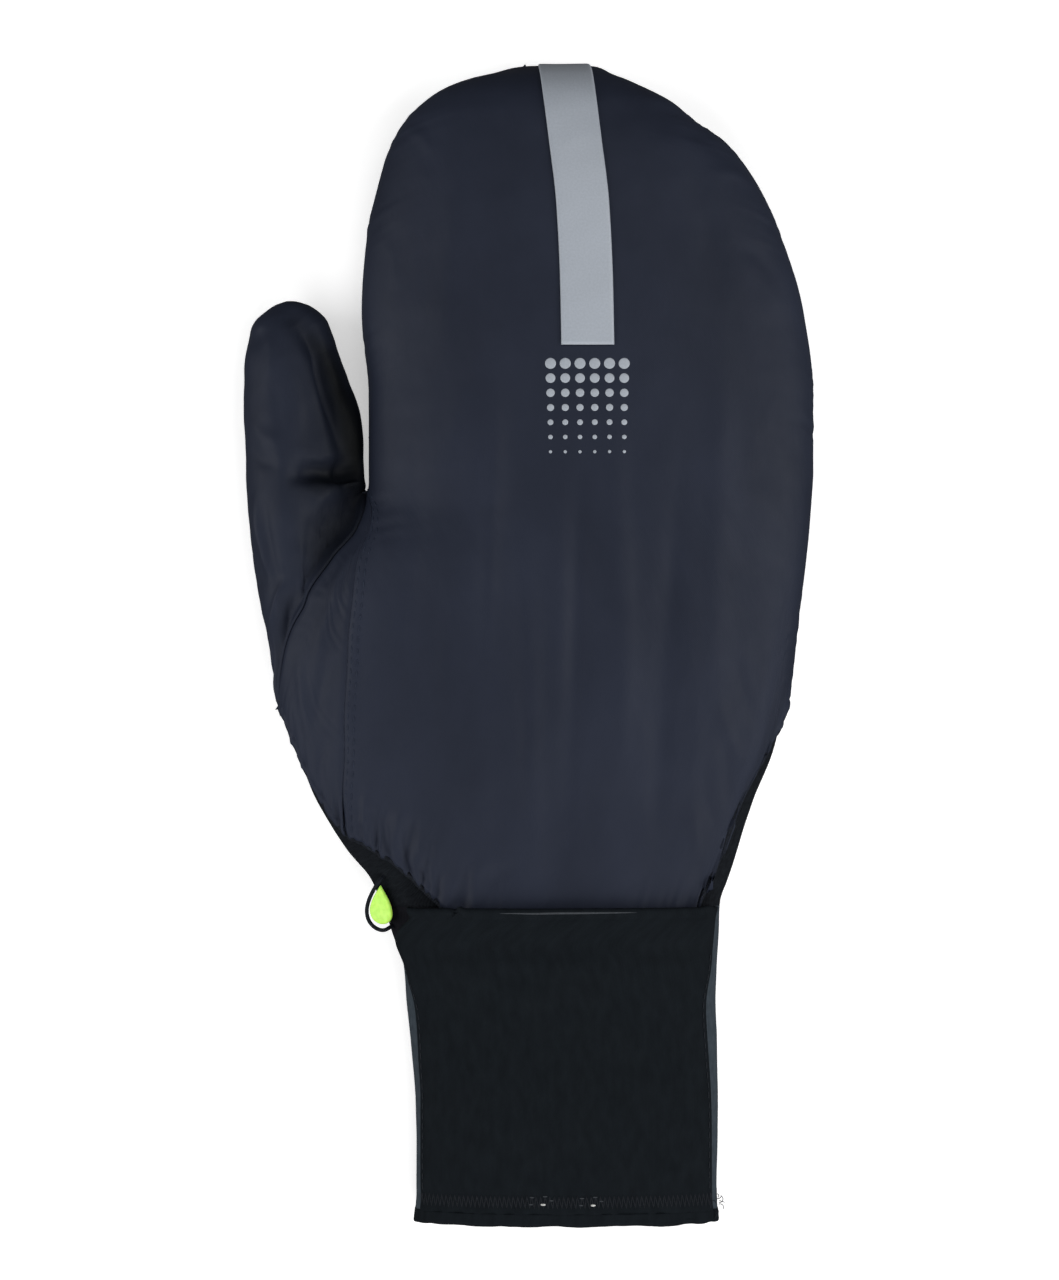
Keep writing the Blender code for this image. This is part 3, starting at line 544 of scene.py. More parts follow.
def cloth(name, points, thickness, look, node, closed=False, tip=None, centre_x=None):
    """A sheet of cloth from a grid of its outer points, its thickness on the inner side."""
    middle = HAND_AXIS if centre_x is None else centre_x
    facing = outward(points, grid_normals(points, closed), middle) > 0
    rows, columns = points.shape[:2]
    around = lengths_along(points, 1)
    around -= around[:, columns // 2][:, None]
    weave = np.stack([around, points[..., 1], np.zeros_like(around)], -1).reshape(-1, 3)
    faces = quads(rows, columns, closed)
    if not facing:
        faces = faces[:, ::-1]
    faces = faces.tolist()
    vertices = points.reshape(-1, 3)
    if tip is not None:
        last = (rows - 1) * columns
        for k in range(columns):
            near, far = last + k, last + (k + 1) % columns
            faces.append((rows * columns, near, far) if facing else (rows * columns, far, near))
        vertices = np.vstack([vertices, tip])
        weave = np.vstack([weave, [0.0, tip[1], 0.0]])
    piece = add_piece(name, mesh_of(name, vertices, faces, weave), look, node)
    wall = piece.modifiers.new("wall", "SOLIDIFY")
    wall.thickness = thickness
    wall.offset = -1
    return piece


def sweep(path, radii, up, sides=8, closed=False, flat=1.0):
    """Points and faces of a round thread along a path. Up is the direction that a flat one lies square to."""
    if closed:
        tangents = unit(np.roll(path, -1, 0) - np.roll(path, 1, 0))
    else:
        tangents = unit(np.gradient(path, axis=0))
    side = unit(np.cross(tangents, np.broadcast_to(up, path.shape)))
    over = np.cross(side, tangents)
    angle = FULL_TURN * np.arange(sides) / sides
    radii = np.broadcast_to(radii, len(path))[:, None, None]
    ring = np.cos(angle)[None, :, None] * side[:, None] + flat * np.sin(angle)[None, :, None] * over[:, None]
    vertices = path[:, None] + ring * radii
    index = np.arange(len(path) * sides).reshape(len(path), sides)
    if closed:
        index = np.vstack([index, index[:1]])
    index = np.hstack([index, index[:, :1]])
    corners = np.stack([index[:-1, :-1], index[1:, :-1], index[1:, 1:], index[:-1, 1:]], -1)
    faces = corners.reshape(-1, 4).tolist()
    if not closed:
        faces.append(list(range(sides)))
        faces.append(list(range((len(path) - 1) * sides, len(path) * sides))[::-1])
    return vertices.reshape(-1, 3), faces


def joined(name, parts, look, *nodes):
    """Several swept threads as one piece."""
    vertices, faces = [], []
    count = 0
    for points, corners in parts:
        vertices.append(points)
        faces += [[count + corner for corner in face] for face in corners]
        count += len(points)
    points = np.vstack(vertices)
    return add_piece(name, turned_out(mesh_of(name, points, faces, points)), look, *nodes)


def resampled(path, step, extra=None):
    """A path with points at even steps, and with it any values that belong to its points."""
    reach = lengths_along(path, 0)
    count = max(int(round(reach[-1] / step)), 2)
    at = np.linspace(0.0, reach[-1], count + 1)
    even = np.stack([np.interp(at, reach, path[:, k]) for k in range(3)], -1)
    if extra is None:
        return even
    return even, np.stack([np.interp(at, reach, extra[:, k]) for k in range(3)], -1)


def stitches(path, up, length, gap, radius):
    """Stitches along a path on the cloth: each is a short thread that dips into it at both ends."""
    path, up = resampled(path, (length + gap) / STITCH_STEPS, up)
    share, rise, width = np.array(STITCH_POINTS).T
    made = []
    for start in range(0, len(path) - STITCH_STEPS, STITCH_STEPS):
        at = start + share * STITCH_STEPS * length / (length + gap)
        line = np.stack([np.interp(at, np.arange(len(path)), path[:, k]) for k in range(3)], -1)
        out = up[start + STITCH_STEPS // 2]
        line = line + out * ((rise - STITCH_SUNK) * radius)[:, None]
        made.append(sweep(line, width * radius, out, sides=6, flat=0.8))
    return made


# Fine folds of the hood, as seen in the photograph: path, half width and height
HOOD_CREASES = (
    (((556, 500), (562, 600), (556, 700)), 0.0022, 0.00030),
    (((585, 560), (582, 700), (592, 860)), 0.0026, -0.00035),
    (((622, 520), (628, 640), (618, 780)), 0.0024, 0.00035),
    (((655, 560), (650, 700), (660, 880)), 0.0028, -0.00035),
    (((690, 600), (694, 720), (684, 880)), 0.0024, 0.00030),
    (((535, 640), (530, 760), (540, 895)), 0.0024, 0.00030),
    (((492, 700), (498, 790), (494, 890)), 0.0020, -0.00030),
    (((455, 560), (448, 660), (456, 780)), 0.0028, 0.00025),
    (((412, 420), (420, 520), (410, 640)), 0.0030, -0.00030),
    (((470, 380), (452, 440), (430, 480)), 0.0032, 0.00035),
    (((520, 470), (500, 500), (470, 520)), 0.0030, -0.00030),
    (((690, 118), (712, 128), (738, 150)), 0.0014, 0.00035),
    (((676, 136), (700, 142), (724, 160)), 0.0016, -0.00035),
    (((640, 100), (662, 104), (690, 116)), 0.0013, 0.00030),
    (((712, 176), (736, 178), (756, 190)), 0.0016, 0.00030),
    (((735, 250), (758, 262), (776, 290)), 0.0020, -0.00030),
    (((400, 130), (420, 140), (436, 160)), 0.0016, 0.00030),
    (((372, 230), (392, 260), (396, 300)), 0.0020, 0.00030),
    (((362, 516), (376, 530), (386, 556)), 0.0016, 0.00022),
    (((470, 884), (480, 866), (498, 852)), 0.0011, 0.00040),
    (((488, 888), (500, 872), (520, 862)), 0.0011, -0.00040),
    (((452, 892), (462, 872), (468, 846)), 0.0012, 0.00045),
    (((437, 884), (446, 862), (450, 836)), 0.0012, -0.00045),
    (((420, 868), (430, 846), (434, 820)), 0.0011, 0.00050),
    (((407, 856), (414, 836), (416, 812)), 0.0011, -0.00055),
    (((393, 846), (399, 828), (402, 806)), 0.0011, 0.00055),
    (((378, 842), (380, 824), (380, 806)), 0.0010, -0.00055),
    (((364, 834), (366, 812), (368, 790)), 0.0012, 0.00045),
    (((700, 884), (696, 850), (690, 800)), 0.0014, 0.00040),
    (((716, 830), (706, 800), (700, 760)), 0.0014, -0.00040),
    (((744, 770), (728, 740), (716, 700)), 0.0016, 0.00040),
    (((762, 736), (744, 700), (730, 650)), 0.0018, -0.00035),
)
# Fine folds of the thumb cover and of the panel beside it
THUMB_CREASES = (
    (((296, 318), (324, 356), (338, 396), (350, 440), (358, 466)), 0.0028, -0.0034),
    (((318, 326), (342, 376), (357, 430)), 0.0014, 0.00070),
    (((298, 478), (322, 472), (350, 474), (368, 466)), 0.0020, -0.0030),
    (((300, 450), (322, 460), (346, 458)), 0.0012, 0.00060),
    (((302, 490), (322, 500), (346, 492)), 0.0022, 0.00070),
    (((310, 520), (330, 530), (346, 520)), 0.0018, -0.00060),
    (((300, 545), (312, 560), (326, 562)), 0.0018, 0.00060),
    (((258, 500), (262, 540), (268, 576)), 0.0008, 0.00100),
    (((268, 500), (272, 545), (278, 590)), 0.0012, -0.00065),
    (((282, 584), (276, 606), (268, 628)), 0.0007, 0.00100),
    (((292, 590), (286, 620), (276, 650)), 0.0011, -0.00070),
    (((298, 634), (294, 668), (290, 704)), 0.0007, 0.00100),
    (((306, 640), (304, 680), (300, 716)), 0.0011, -0.00065),
    (((250, 420), (262, 436), (280, 446)), 0.0016, 0.00050),
    (((248, 446), (262, 462), (284, 470)), 0.0016, -0.00060),
    (((262, 330), (272, 352), (272, 384)), 0.0018, 0.00045),
    (((290, 360), (300, 400), (304, 440)), 0.0020, 0.00055),
    (((276, 380), (282, 420), (286, 452)), 0.0016, -0.00045),
)
# Painted shade: where the folds of the thumb cover are so deep that little light reaches them, their colour
# is darkened: path, half width and depth
THUMB_PAINTED_FOLD_SHADE = (
    (((300, 326), (326, 356), (338, 386), (348, 420), (354, 468)), 0.0028, 0.90),
    (((350, 380), (357, 440), (362, 516)), 0.0048, 1.00),
    (((306, 484), (334, 478), (360, 478)), 0.0030, 0.80),
    (((322, 500), (338, 530), (330, 590)), 0.0090, 0.55),
    (((322, 330), (324, 420), (326, 560)), 0.0070, 0.32),
)
PANEL_CREASES = (
    (((350, 540), (334, 560), (322, 590)), 0.0014, -0.00060),
    (((352, 556), (340, 580), (334, 610)), 0.0012, 0.00050),
    (((336, 600), (324, 630), (318, 664)), 0.0016, 0.00045),
    (((330, 660), (322, 690), (320, 720)), 0.0014, -0.00045),
    (((300, 660), (304, 700), (312, 740)), 0.0012, 0.00055),
    (((326, 740), (322, 766), (326, 796)), 0.0012, -0.00045),
    (((340, 790), (334, 806), (338, 822)), 0.0010, 0.00045),
)
CUFF_FOLDS = (
    (((420, 930), (480, 934), (560, 938), (640, 934), (700, 928)), 0.0022, -0.00020),
    (((424, 956), (500, 962), (580, 964)), 0.0024, 0.00030),
    (((560, 984), (620, 992), (690, 984)), 0.0030, -0.00025),
    (((440, 1060), (470, 1100), (474, 1160)), 0.0040, 0.00025),
    (((640, 1060), (660, 1110), (650, 1170)), 0.0045, -0.00025),
    (((700, 1150), (680, 1168), (660, 1172)), 0.0016, 0.00035),
)

# Puckers that a line of stitches draws into thin cloth, and the seam's groove: depth and half width
PUCKER_LENGTH = 0.0045
PUCKER_DEPTH = 0.0040
PUCKER_HEIGHT = 0.00034
PUCKER_LEAN = 0.45
PUCKER_STRENGTH = (0.35, 0.9)
SEAM_GROOVE = (0.00025, 0.0008)
# Distances from a seam and from the fingertips within which the cloth's own creases die out
CALM_AT_SEAM = 0.004
CALM_AT_TIP = (0.002, 0.016)
# The thumb cover's small creases beside the hood's: how much higher, and how much smaller
THUMB_CRUMPLES = (1.3, 0.7)
# Its puckers at the seam with the hood, and the valley beside it: depth, distance from the seam, half width
ROOT_PUCKERS = 0.00045
ROOT_VALLEY = (0.0022, 0.004, 0.009)
# The elastic hem: width and height of its casing, the groove beside it, and the gathers that it draws
CASING = 0.0030
CASING_HEIGHT = 0.00030
CASING_GROOVE = (0.00035, 0.0005)
GATHER_LENGTH = 0.0038
GATHER_HEIGHT = 0.00075
GATHER_REACH = 0.0080


def puckers(distance, along_seam, seed, height=PUCKER_HEIGHT, reach=PUCKER_DEPTH):
    """Relief beside a stitched seam: none on the seam itself, most a little beside it."""
    envelope = distance / reach * np.exp(1 - distance / reach)
    least, swing = PUCKER_STRENGTH
    strong = np.clip(least + swing * ripple(along_seam, 9 * PUCKER_LENGTH, seed + 90), 0.0, 1.0)
    wave = ripple(along_seam + PUCKER_LEAN * distance, PUCKER_LENGTH, seed)
    groove, half_width = SEAM_GROOVE
    return height * envelope * strong * wave - groove * hill(distance, half_width)


def hood_relief(points, seams, hem=None, creases=()):
    """Relief of a hood panel. Seams are how strongly its sides are puckered, hem how its end is gathered."""
    relief = crumpled(points)
    for path, half_width, height in creases:
        relief += crease(points, path, half_width, height)
    around, down = lengths_along(points, 1), lengths_along(points, 0)
    at_tip = ease(down, *CALM_AT_TIP)
    sides = ((around, down[:, :1]), (around[:, -1:] - around, down[:, -1:]))
    for number, (distance, line) in enumerate(sides):
        drawn = puckers(distance, line, 31 + number, PUCKER_HEIGHT * seams[number])
        relief = relief * ease(distance, 0.0, CALM_AT_SEAM) * at_tip + at_tip * drawn
    if hem is not None:
        distance = down[-1:] - down
        gathers = GATHER_HEIGHT * hill(distance, GATHER_REACH) * ripple(around[-1:], GATHER_LENGTH, 47)
        relief += gathers * hem
        ends = (1 - ease(distance, CASING - 0.0004, CASING + 0.0006)) * ease(distance, 0.0, 0.0006)
        groove, half_width = CASING_GROOVE
        relief += CASING_HEIGHT * ends
        relief -= groove * hill(distance - CASING, half_width)
    return relief


def crumpled(points):
    """Relief of the thin cloth's small creases alone."""
    relief = np.zeros(points.shape[:2])
    for size, height, seed in CRUMPLES:
        relief += height * crumple(points[..., 0], points[..., 1], size, seed)
    return relief


def raised(points, relief, closed=False, centre_x=None):
    """A grid moved along its own outward directions, but never below the surface that it lies on."""
    normals = grid_normals(points, closed)
    normals = normals * outward(points, normals, HAND_AXIS if centre_x is None else centre_x)
    moved = points + normals * relief[..., None]
    moved[..., 2] = np.maximum(moved[..., 2], 0.0)
    return moved, normals


# Station of the upper edge of the cuff's hem
HEM_TOP = -1 + CUFF_HEM_DEPTH / CUFF_LENGTH
# On the thumb side the cuff's grey cloth starts a little below the wrist
DARK_WRIST_PX = (955.0, 946.0)

# Rows and columns of the fine grids
BACK_GRID = (210, 190)
PANEL_GRID = (150, 48)
PALM_GRID = (120, 150)
THUMB_GRID = (110, 128)
HAND_GRID = (60, 200)
CUFF_GRID = (70, 200)
POCKET_GRID = (150, 150)
STRIPE_GRID = (120, 24)
ROW_CROWDING = 1.25
TIP_CROWDING = 1.8
# How late the hood's rows bend towards the curve of its hem
HEM_BEND = 3
SIDE_CROWDING = 0.065
THUMB_PANEL_START = 0.08
# Most that the cloths below others stand out
LOW_RELIEF = 0.0002
# The finished grids that threads and edges follow, each with its outward directions
GRIDS = {}


# The silver tape as seen: its thickness, and how far its edges go down
SEEN_TAPE = 0.0003
TAPE_EDGE = 0.00022
# The stitched seam's lower end: its station, its angle and its distance from the hem
FOOT = SEAM_ROWS[0][0]
FOOT_ANGLE = float(seam_angle(np.array(FOOT)))
FOOT_RISE = FOOT - hem_along(np.array(FOOT_ANGLE))
# Where the back's hem is gathered: places across and half widths, and how much it is gathered elsewhere
BACK_GATHERS = ((-0.030, 0.016), (0.046, 0.010))
LEAST_GATHERED = 0.35


def laid_cloth(node, points, relief, thickness, look, closed=False, kind="cloth"):
    """A sheet of cloth from a grid and its relief. The finished grid is kept under its node's name."""
    moved, normals = raised(points, relief, closed)
    GRIDS[node] = moved, normals
    return cloth(f"{node}_{kind}", moved, thickness, look, node, closed)


def seam_stations(count):
    """Stations of rows where they meet the thumb's side or the stitched seam."""
    return mix(1.0, FOOT, spaced(count, ROW_CROWDING))


def hood_back():
    """From the fingertips to the hem, and from the stitched seam to the little finger's side."""
    rows, columns = BACK_GRID
    left_along = seam_stations(rows)[:, None]
    share = spaced(columns)
    share = (share - SIDE_CROWDING * np.sin(FULL_TURN * share))[None, :]
    down = (1.0 - left_along) / (1.0 - FOOT)
    bottom = hem_along(mix(FOOT_ANGLE, HALF_TURN, share)) + FOOT_RISE * (1 - share)
    along = left_along + (bottom - FOOT) * down ** HEM_BEND
    points = hood(mix(seam_angle(left_along), HALF_TURN, share), along)
    near = [hill(points[-1:, :, 0] - place, half_width) for place, half_width in BACK_GATHERS]
    gathered = LEAST_GATHERED + (1 - LEAST_GATHERED) * np.maximum(*near)
    gathered = gathered * (1 - 0.8 * ease(share, 0.88, 0.98))
    relief = hood_relief(points, (0.35, 0.5), gathered, HOOD_CREASES)
    return laid_cloth("hood_back", points, relief, HOOD_CLOTH, NYLON)


def hood_thumb_panel():
    """From the crotch down to the hem, between the thumb's opening and the stitched seam."""
    rows, columns = PANEL_GRID
    stations = seam_stations(4 * rows)
    wide = seam_angle(stations) > opening_angles(stations)[0] + THUMB_PANEL_START
    top = stations[wide][0]
    right_along = mix(top, FOOT, spaced(rows))[:, None]
    share = spaced(columns)[None, :]
    bottom = hem_along(FOOT_ANGLE * share) + FOOT_RISE * share
    along = mix(top, bottom, (top - right_along) / (top - FOOT))
    points = hood(mix(opening_angles(along)[0], seam_angle(right_along), share), along)
    relief = hood_relief(points, (0.1, 0.35), 0.25 + 0.45 * share, PANEL_CREASES)
    return laid_cloth("hood_thumb_panel", points, relief, HOOD_CLOTH, NYLON)


def hood_palm():
    """The palm side, from the fingertips to the hem across the palm, open at the thumb."""
    rows, columns = PALM_GRID
    share = spaced(columns)[None, :]
    down = spaced(rows, ROW_CROWDING)[:, None]
    along = mix(1.0, hem_along(HALF_TURN + HALF_TURN * share), down)
    left = FULL_TURN - opening_angles(along)[1]
    points = hood(mix(HALF_TURN, left, share), along)
    relief = hood_relief(points, (0.5, 0.5), np.array([[0.25]]))
    return laid_cloth("hood_palm", points, np.minimum(relief, LOW_RELIEF), HOOD_CLOTH, NYLON)


def thumb_ring(along, angle):
    """Sections of the free thumb, their first points towards the hand."""
    left, right, crown, floor = read(THUMB, along)
    middle = THUMB_OUTER_X + THUMB_WIDTH * (left + right) / 2
    half = THUMB_WIDTH * (right - left) / 2
    centre_z, half_z = THUMB_HEIGHT * (crown + floor) / 2, THUMB_HEIGHT * (crown - floor) / 2
    z = centre_z + half_z * np.sign(np.sin(angle)) * np.abs(np.sin(angle)) ** CROWN_POWER
    x = middle + half * np.cos(angle)
    return np.stack([x, np.broadcast_to(CROTCH_Y + along * THUMB_LENGTH, x.shape), z], -1)


def thumb_relief(points, angle):
    """Relief of the thumb cover: its large folds, then the fine ones that the photograph shows."""
    along = (points[..., 1] - CROTCH_Y) / THUMB_LENGTH
    large = np.zeros(along.shape)
    for middle, turn, spread, half_width, depth in THUMB_FOLDS:
        away = np.abs(angle / FULL_TURN - turn)
        away = np.minimum(away, 1 - away)
        reach = 1 - ease(away, spread * 0.4, spread)
        large += THUMB_HEIGHT * depth * hill(along - middle, half_width) * reach
    fine = np.zeros(along.shape)
    for size, height, seed in CRUMPLES:
        height, size = THUMB_CRUMPLES[0] * height, size * THUMB_CRUMPLES[1]
        fine += height * crumple(points[..., 0], points[..., 1], size, seed + 5)
    for path, half_width, height in THUMB_CREASES:
        fine += crease(points, path, half_width, height) * ease(np.sin(angle), 0.0, 0.3)
    return large, fine


def thumb_cover():
    """A tube from the opening in the hood's side to the closed tip of the thumb, with shade painted into its
    deep folds.
    """
    rows, columns = THUMB_GRID
    root_rows = rows // 3
    angle = FULL_TURN * np.arange(columns) / columns
    along = along_at(CROTCH_Y - THUMB_OPENING * (1 - np.cos(angle)) / 2)
    above, below = opening_angles(along)
    side = np.where(np.sin(angle) >= 0, above, -below)
    base = hood(side, along, PANEL_GAP)
    low, high = THUMB_ROWS[0][0], THUMB_ROWS[-1][0]
    free = mix(high, low, spaced(rows - root_rows, TIP_CROWDING)[::-1])[:, None]
    rings = thumb_ring(free, angle[None, :])
    start, end = base[None], rings[:1]
    share = spaced(root_rows)[:-1, None, None]
    leave = start + (end - start) / 3
    reach = np.linalg.norm(end - start, axis=-1, keepdims=True) / 3
    arrive = end - reach * np.array([0.0, 1.0, 0.0])
    rest = 1 - share
    root = (rest ** 3 * start + 3 * rest ** 2 * share * leave
            + 3 * rest * share ** 2 * arrive + share ** 3 * end)
    tucked = hood(side, along, -HOOD_CLOTH)
    points = np.concatenate([tucked[None], root, rings])
    large, fine = thumb_relief(points, angle[None, :])
    out = np.stack([np.cos(angle), np.zeros(columns), np.sin(angle)], -1)[None]
    points = points + out * (large * ease(np.arange(len(points)), 1, 4)[:, None])[..., None]
    distance = lengths_along(points, 0)
    distance = np.maximum(distance - distance[1], 0.0)
    sewn = puckers(distance, lengths_along(points, 1)[:1], 61, ROOT_PUCKERS)
    depth, away, half_width = ROOT_VALLEY
    on_top = ease(np.sin(angle), 0.1, 0.6)
    sewn -= depth * hill(distance - away, half_width) * ease(distance, 0.0, 0.003) * on_top
    fine = fine * ease(distance, 0.0, 0.004) * ease(distance[-1:] - distance, 0.0, 0.005) + sewn
    thumb_middle = THUMB_OUTER_X + THUMB_WIDTH / 2
    moved, _ = raised(points, fine, True, thumb_middle)
    tip = moved[-1].mean(0)
    tip[1] = CROTCH_Y + THUMB_LENGTH
    piece = cloth("thumb_cover_cloth", moved, HOOD_CLOTH, NYLON, "thumb_cover", True, tip, thumb_middle)
    # Painted shade: how far each point's colour is darkened in the deep folds, which the nylon's shader reads
    lit = np.ones(len(piece.data.vertices))
    for path, half_width, dark in THUMB_PAINTED_FOLD_SHADE:
        folded = crease(moved, path, half_width, dark) * ease(np.sin(angle), -0.2, 0.2)
        lit[:folded.size] *= 1 - folded.ravel()
    marked(piece, "painted_fold_shade", 1 - lit)
    return piece


# The black glove's upper end: its station, and how far and over which shares of the half turn it is cut lower
GLOVE_TOP = 0.50
GLOVE_NOTCH = 0.012
GLOVE_NOTCH_SIDES = (0.20, 0.42)
GLOVE_CREASES = 0.00030
GLOVE_GATHERS = 0.00035


def glove_hand():
    """The black glove's hand, from the wrist to inside the hood, lower where the thumb comes out."""
    rows, columns = HAND_GRID
    angle = (FULL_TURN * np.arange(columns) / columns)[None, :]
    from_thumb = np.minimum(angle, FULL_TURN - angle) / HALF_TURN
    notch = CROTCH_ALONG - THUMB_OPENING / HAND_LENGTH - GLOVE_NOTCH
    top = mix(notch, GLOVE_TOP, ease(from_thumb, *GLOVE_NOTCH_SIDES))
    points = slack_skin(angle, spaced(rows)[:, None] * top)
    from_wrist = lengths_along(points, 0)
    soft = GLOVE_CREASES * crumple(points[..., 0], points[..., 1], 0.012, 71) * ease(from_wrist, 0.0, 0.004)
    drawn = GLOVE_GATHERS * hill(from_wrist, 0.006) * ripple(lengths_along(points, 1), 0.0042, 72)
    relief = soft + drawn * np.sin(HALF_TURN * spaced(rows))[:, None]
    return laid_cloth("glove_hand", points, relief, GLOVE_CLOTH, KNIT, closed=True, kind="knit")


def cuff_tube():
    """The cuff's own wall, whose sides show beside the pocket."""
    rows, columns = CUFF_GRID
    angle = (FULL_TURN * np.arange(columns) / columns)[None, :]
    along = mix(0.0, HEM_TOP, spaced(rows))[:, None]
    points = body(angle, along)
    relief = 0.00022 * crumple(points[..., 0], points[..., 1], 0.016, 81) * ease(-along, 0.0, 0.06)
    for path, half_width, height in CUFF_FOLDS:
        relief = relief + crease(points, path, half_width, height) * ease(np.sin(angle), 0.0, 0.2)
    relief = np.minimum(relief, LOW_RELIEF)
    piece = laid_cloth("cuff_tube", points, relief, CUFF_CLOTH, GREY_CUFF, closed=True)
    places = GRIDS["cuff_tube"][0]
    bottom, top = (at_photo(0, y)[1] for y in DARK_WRIST_PX)
    marked(piece, "dark_end", ease(places[..., 1], bottom, top) * (places[..., 0] < HAND_AXIS))
    return piece


# The pocket's own creases, the folded cloth along its upper edge, and the grooves that its stitches draw
POCKET_CREASES = 0.00030
POCKET_FOLD = 0.0024
POCKET_FOLD_HEIGHT = 0.00030
POCKET_GROOVE = 0.00022
POCKET_SIDE_GROOVE = 0.00025


def pocket_lift(angle, along):
    """Height of the pocket over the cuff, which holds the hood's end along its upper edge."""
    from_side = np.minimum(angle, HALF_TURN - angle) / HALF_TURN
    holding = ease(from_side, 0.06, 0.15) * ease(along, -0.34, -0.16)
    return FIT_GAP + holding * (HOOD_LIFT + PANEL_GAP + 3 * FIT_GAP)


def pocket_edges(along):
    left, right = read(POCKET, along)
    return HALF_TURN * left, HALF_TURN * right


def cuff_pocket():
    """The front panel of the cuff, from its open upper edge to the cuff's hem."""
    rows, columns = POCKET_GRID
    along = mix(0.002, HEM_TOP, spaced(rows))[:, None]
    left, right = pocket_edges(along)
    angle = mix(left, right, spaced(columns)[None, :])
    points = skin(angle, along, pocket_lift(angle, along) + POCKET_CLOTH)
    around, down = lengths_along(points, 1), lengths_along(points, 0)
    from_side = np.minimum(around, around[:, -1:] - around)
    relief = POCKET_CREASES * crumple(points[..., 0], points[..., 1], 0.022, 91) * ease(down, 0.0, 0.01)
    for path, half_width, height in CUFF_FOLDS:
        relief += crease(points, path, half_width, height)
    relief += POCKET_FOLD_HEIGHT * (1 - ease(down, 0.0016, 0.0026))
    relief -= POCKET_GROOVE * hill(down - POCKET_FOLD, 0.0004)
    relief *= ease(from_side, 0.0, 0.003)
    relief -= (POCKET_CLOTH - 0.0002) * (1 - ease(from_side, 0.0, 0.0012)) * ease(down, 0.0, 0.004)
    relief -= POCKET_SIDE_GROOVE * hill(from_side - POCKET_STITCH_LINE, 0.0004)
    return laid_cloth("cuff_pocket", points, relief, POCKET_CLOTH, BLACK_CUFF)


# The cuff's hem: how far its fold and its edge are rounded, the points of each, and the cuff's mean radius
HEM_FOLD = 0.012
HEM_EDGE = 0.004
HEM_FOLD_STEPS = 10
CUFF_RADIUS = 0.040


def cuff_hem():
    """The folded hem round the cuff's mouth, rounded where the cloth turns in."""
    columns = CUFF_GRID[1]
    angle = (FULL_TURN * np.arange(columns) / columns)[None, :]
    outer = ease(np.sin(angle), 0.25, 0.6) * (FIT_GAP + POCKET_CLOTH)
    thick = outer + CUFF_CLOTH
    share = spaced(HEM_FOLD_STEPS)[:-1, None]
    bow = HALF_TURN * share
    fold = -1 + HEM_FOLD
    profile = (
        (mix(HEM_TOP, fold, share), outer),
        (-1 + HEM_FOLD * (1 - np.sin(bow)), outer - thick * (1 - np.cos(bow)) / 2),
        (mix(fold, HEM_TOP, share), -CUFF_CLOTH),
        (HEM_TOP + HEM_EDGE * np.sin(bow), -CUFF_CLOTH + thick * (1 - np.cos(bow)) / 2),
    )
    along, lift = (np.concatenate([np.broadcast_to(values, (HEM_FOLD_STEPS, columns)) for values in part])
                   for part in zip(*profile))
    around = angle * CUFF_RADIUS
    wave = ripple(around, 0.006, 95) * 0.00025
    along = along + np.where(along < -0.98, 0.004 * ripple(around, 0.021, 96), 0.0)
    points = skin(np.broadcast_to(angle, along.shape), np.maximum(along, -1.0), lift + wave * (lift > 0))
    points[..., 2] = np.maximum(points[..., 2], 0.0)
    rows = len(points)
    faces = quads(rows, columns, closed=True)
    close = quads(2, columns, closed=True)
    close = np.where(close < columns, close + (rows - 1) * columns, close - columns)
    faces = np.vstack([faces, close]).tolist()
    around = lengths_along(points, 1)
    weave = np.stack([around, points[..., 1], points[..., 2]], -1).reshape(-1, 3)
    mesh = turned_out(mesh_of("cuff_hem_cloth", points.reshape(-1, 3), faces, weave))
    return add_piece("cuff_hem_cloth", mesh, BLACK_CUFF, "cuff_hem")


# The hood's elastic binding: its radius, and how much it swells and shrinks
HEM_RADIUS = 0.00075
HEM_SWELL = 0.10


def hood_hem():
    """The elastic binding, one loop that follows the hood's gathered lower end all round the hand."""
    edges = [GRIDS[name] for name in ("hood_thumb_panel", "hood_back", "hood_palm")]
    path = np.concatenate([points[-1, :-1] for points, _ in edges])
    up = np.concatenate([normals[-1, :-1] for _, normals in edges])
    for _ in range(2):
        path = (np.roll(path, 1, 0) + 2 * path + np.roll(path, -1, 0)) / 4
    path = path - up * HEM_RADIUS * 0.8
    path[:, 2] = np.maximum(path[:, 2], (1 + HEM_SWELL) * HEM_RADIUS)
    wave = 1 + HEM_SWELL * ripple(lengths_along(path[:, None], 0)[:, 0], 0.0022, 51)
    parts = [sweep(path, HEM_RADIUS * wave, up, sides=10, closed=True)]
    return joined("hood_hem_binding", parts, ELASTIC, "hood_hem")


def reflective_stripe():
    """Silver tape over the hood, from the fingertip edge down the back of the fingers."""
    rows, columns = STRIPE_GRID
    along = mix(1.0, STRIPE_ROWS[0][0], spaced(rows, 1.6))[:, None]
    share = spaced(columns)[None, :] - 0.5
    across = HOOD_WIDTH * read(STRIPE, along)[0] + STRIPE_WIDTH * share
    angle = angle_over(HAND_AXIS + across, along)
    points = hood(angle, along)
    relief = crumpled(points)
    relief += TAPE_LIFT - TAPE_EDGE * (ease(np.abs(share), 0.46, 0.5))
    return laid_cloth("reflective_stripe", points, relief, SEEN_TAPE, SILVER, kind="tape")


def beside(points, normals, distance):
    """The line on a grid at a distance from its first side, or from its last one if that is negative."""
    reach = lengths_along(points, 1)
    line, up = [], []
    for row, places in enumerate(reach):
        at = distance + (places[-1] if distance < 0 else 0.0)
        line.append([np.interp(at, places, points[row, :, k]) for k in range(3)])
        up.append([np.interp(at, places, normals[row, :, k]) for k in range(3)])
    return np.array(line), unit(np.array(up))


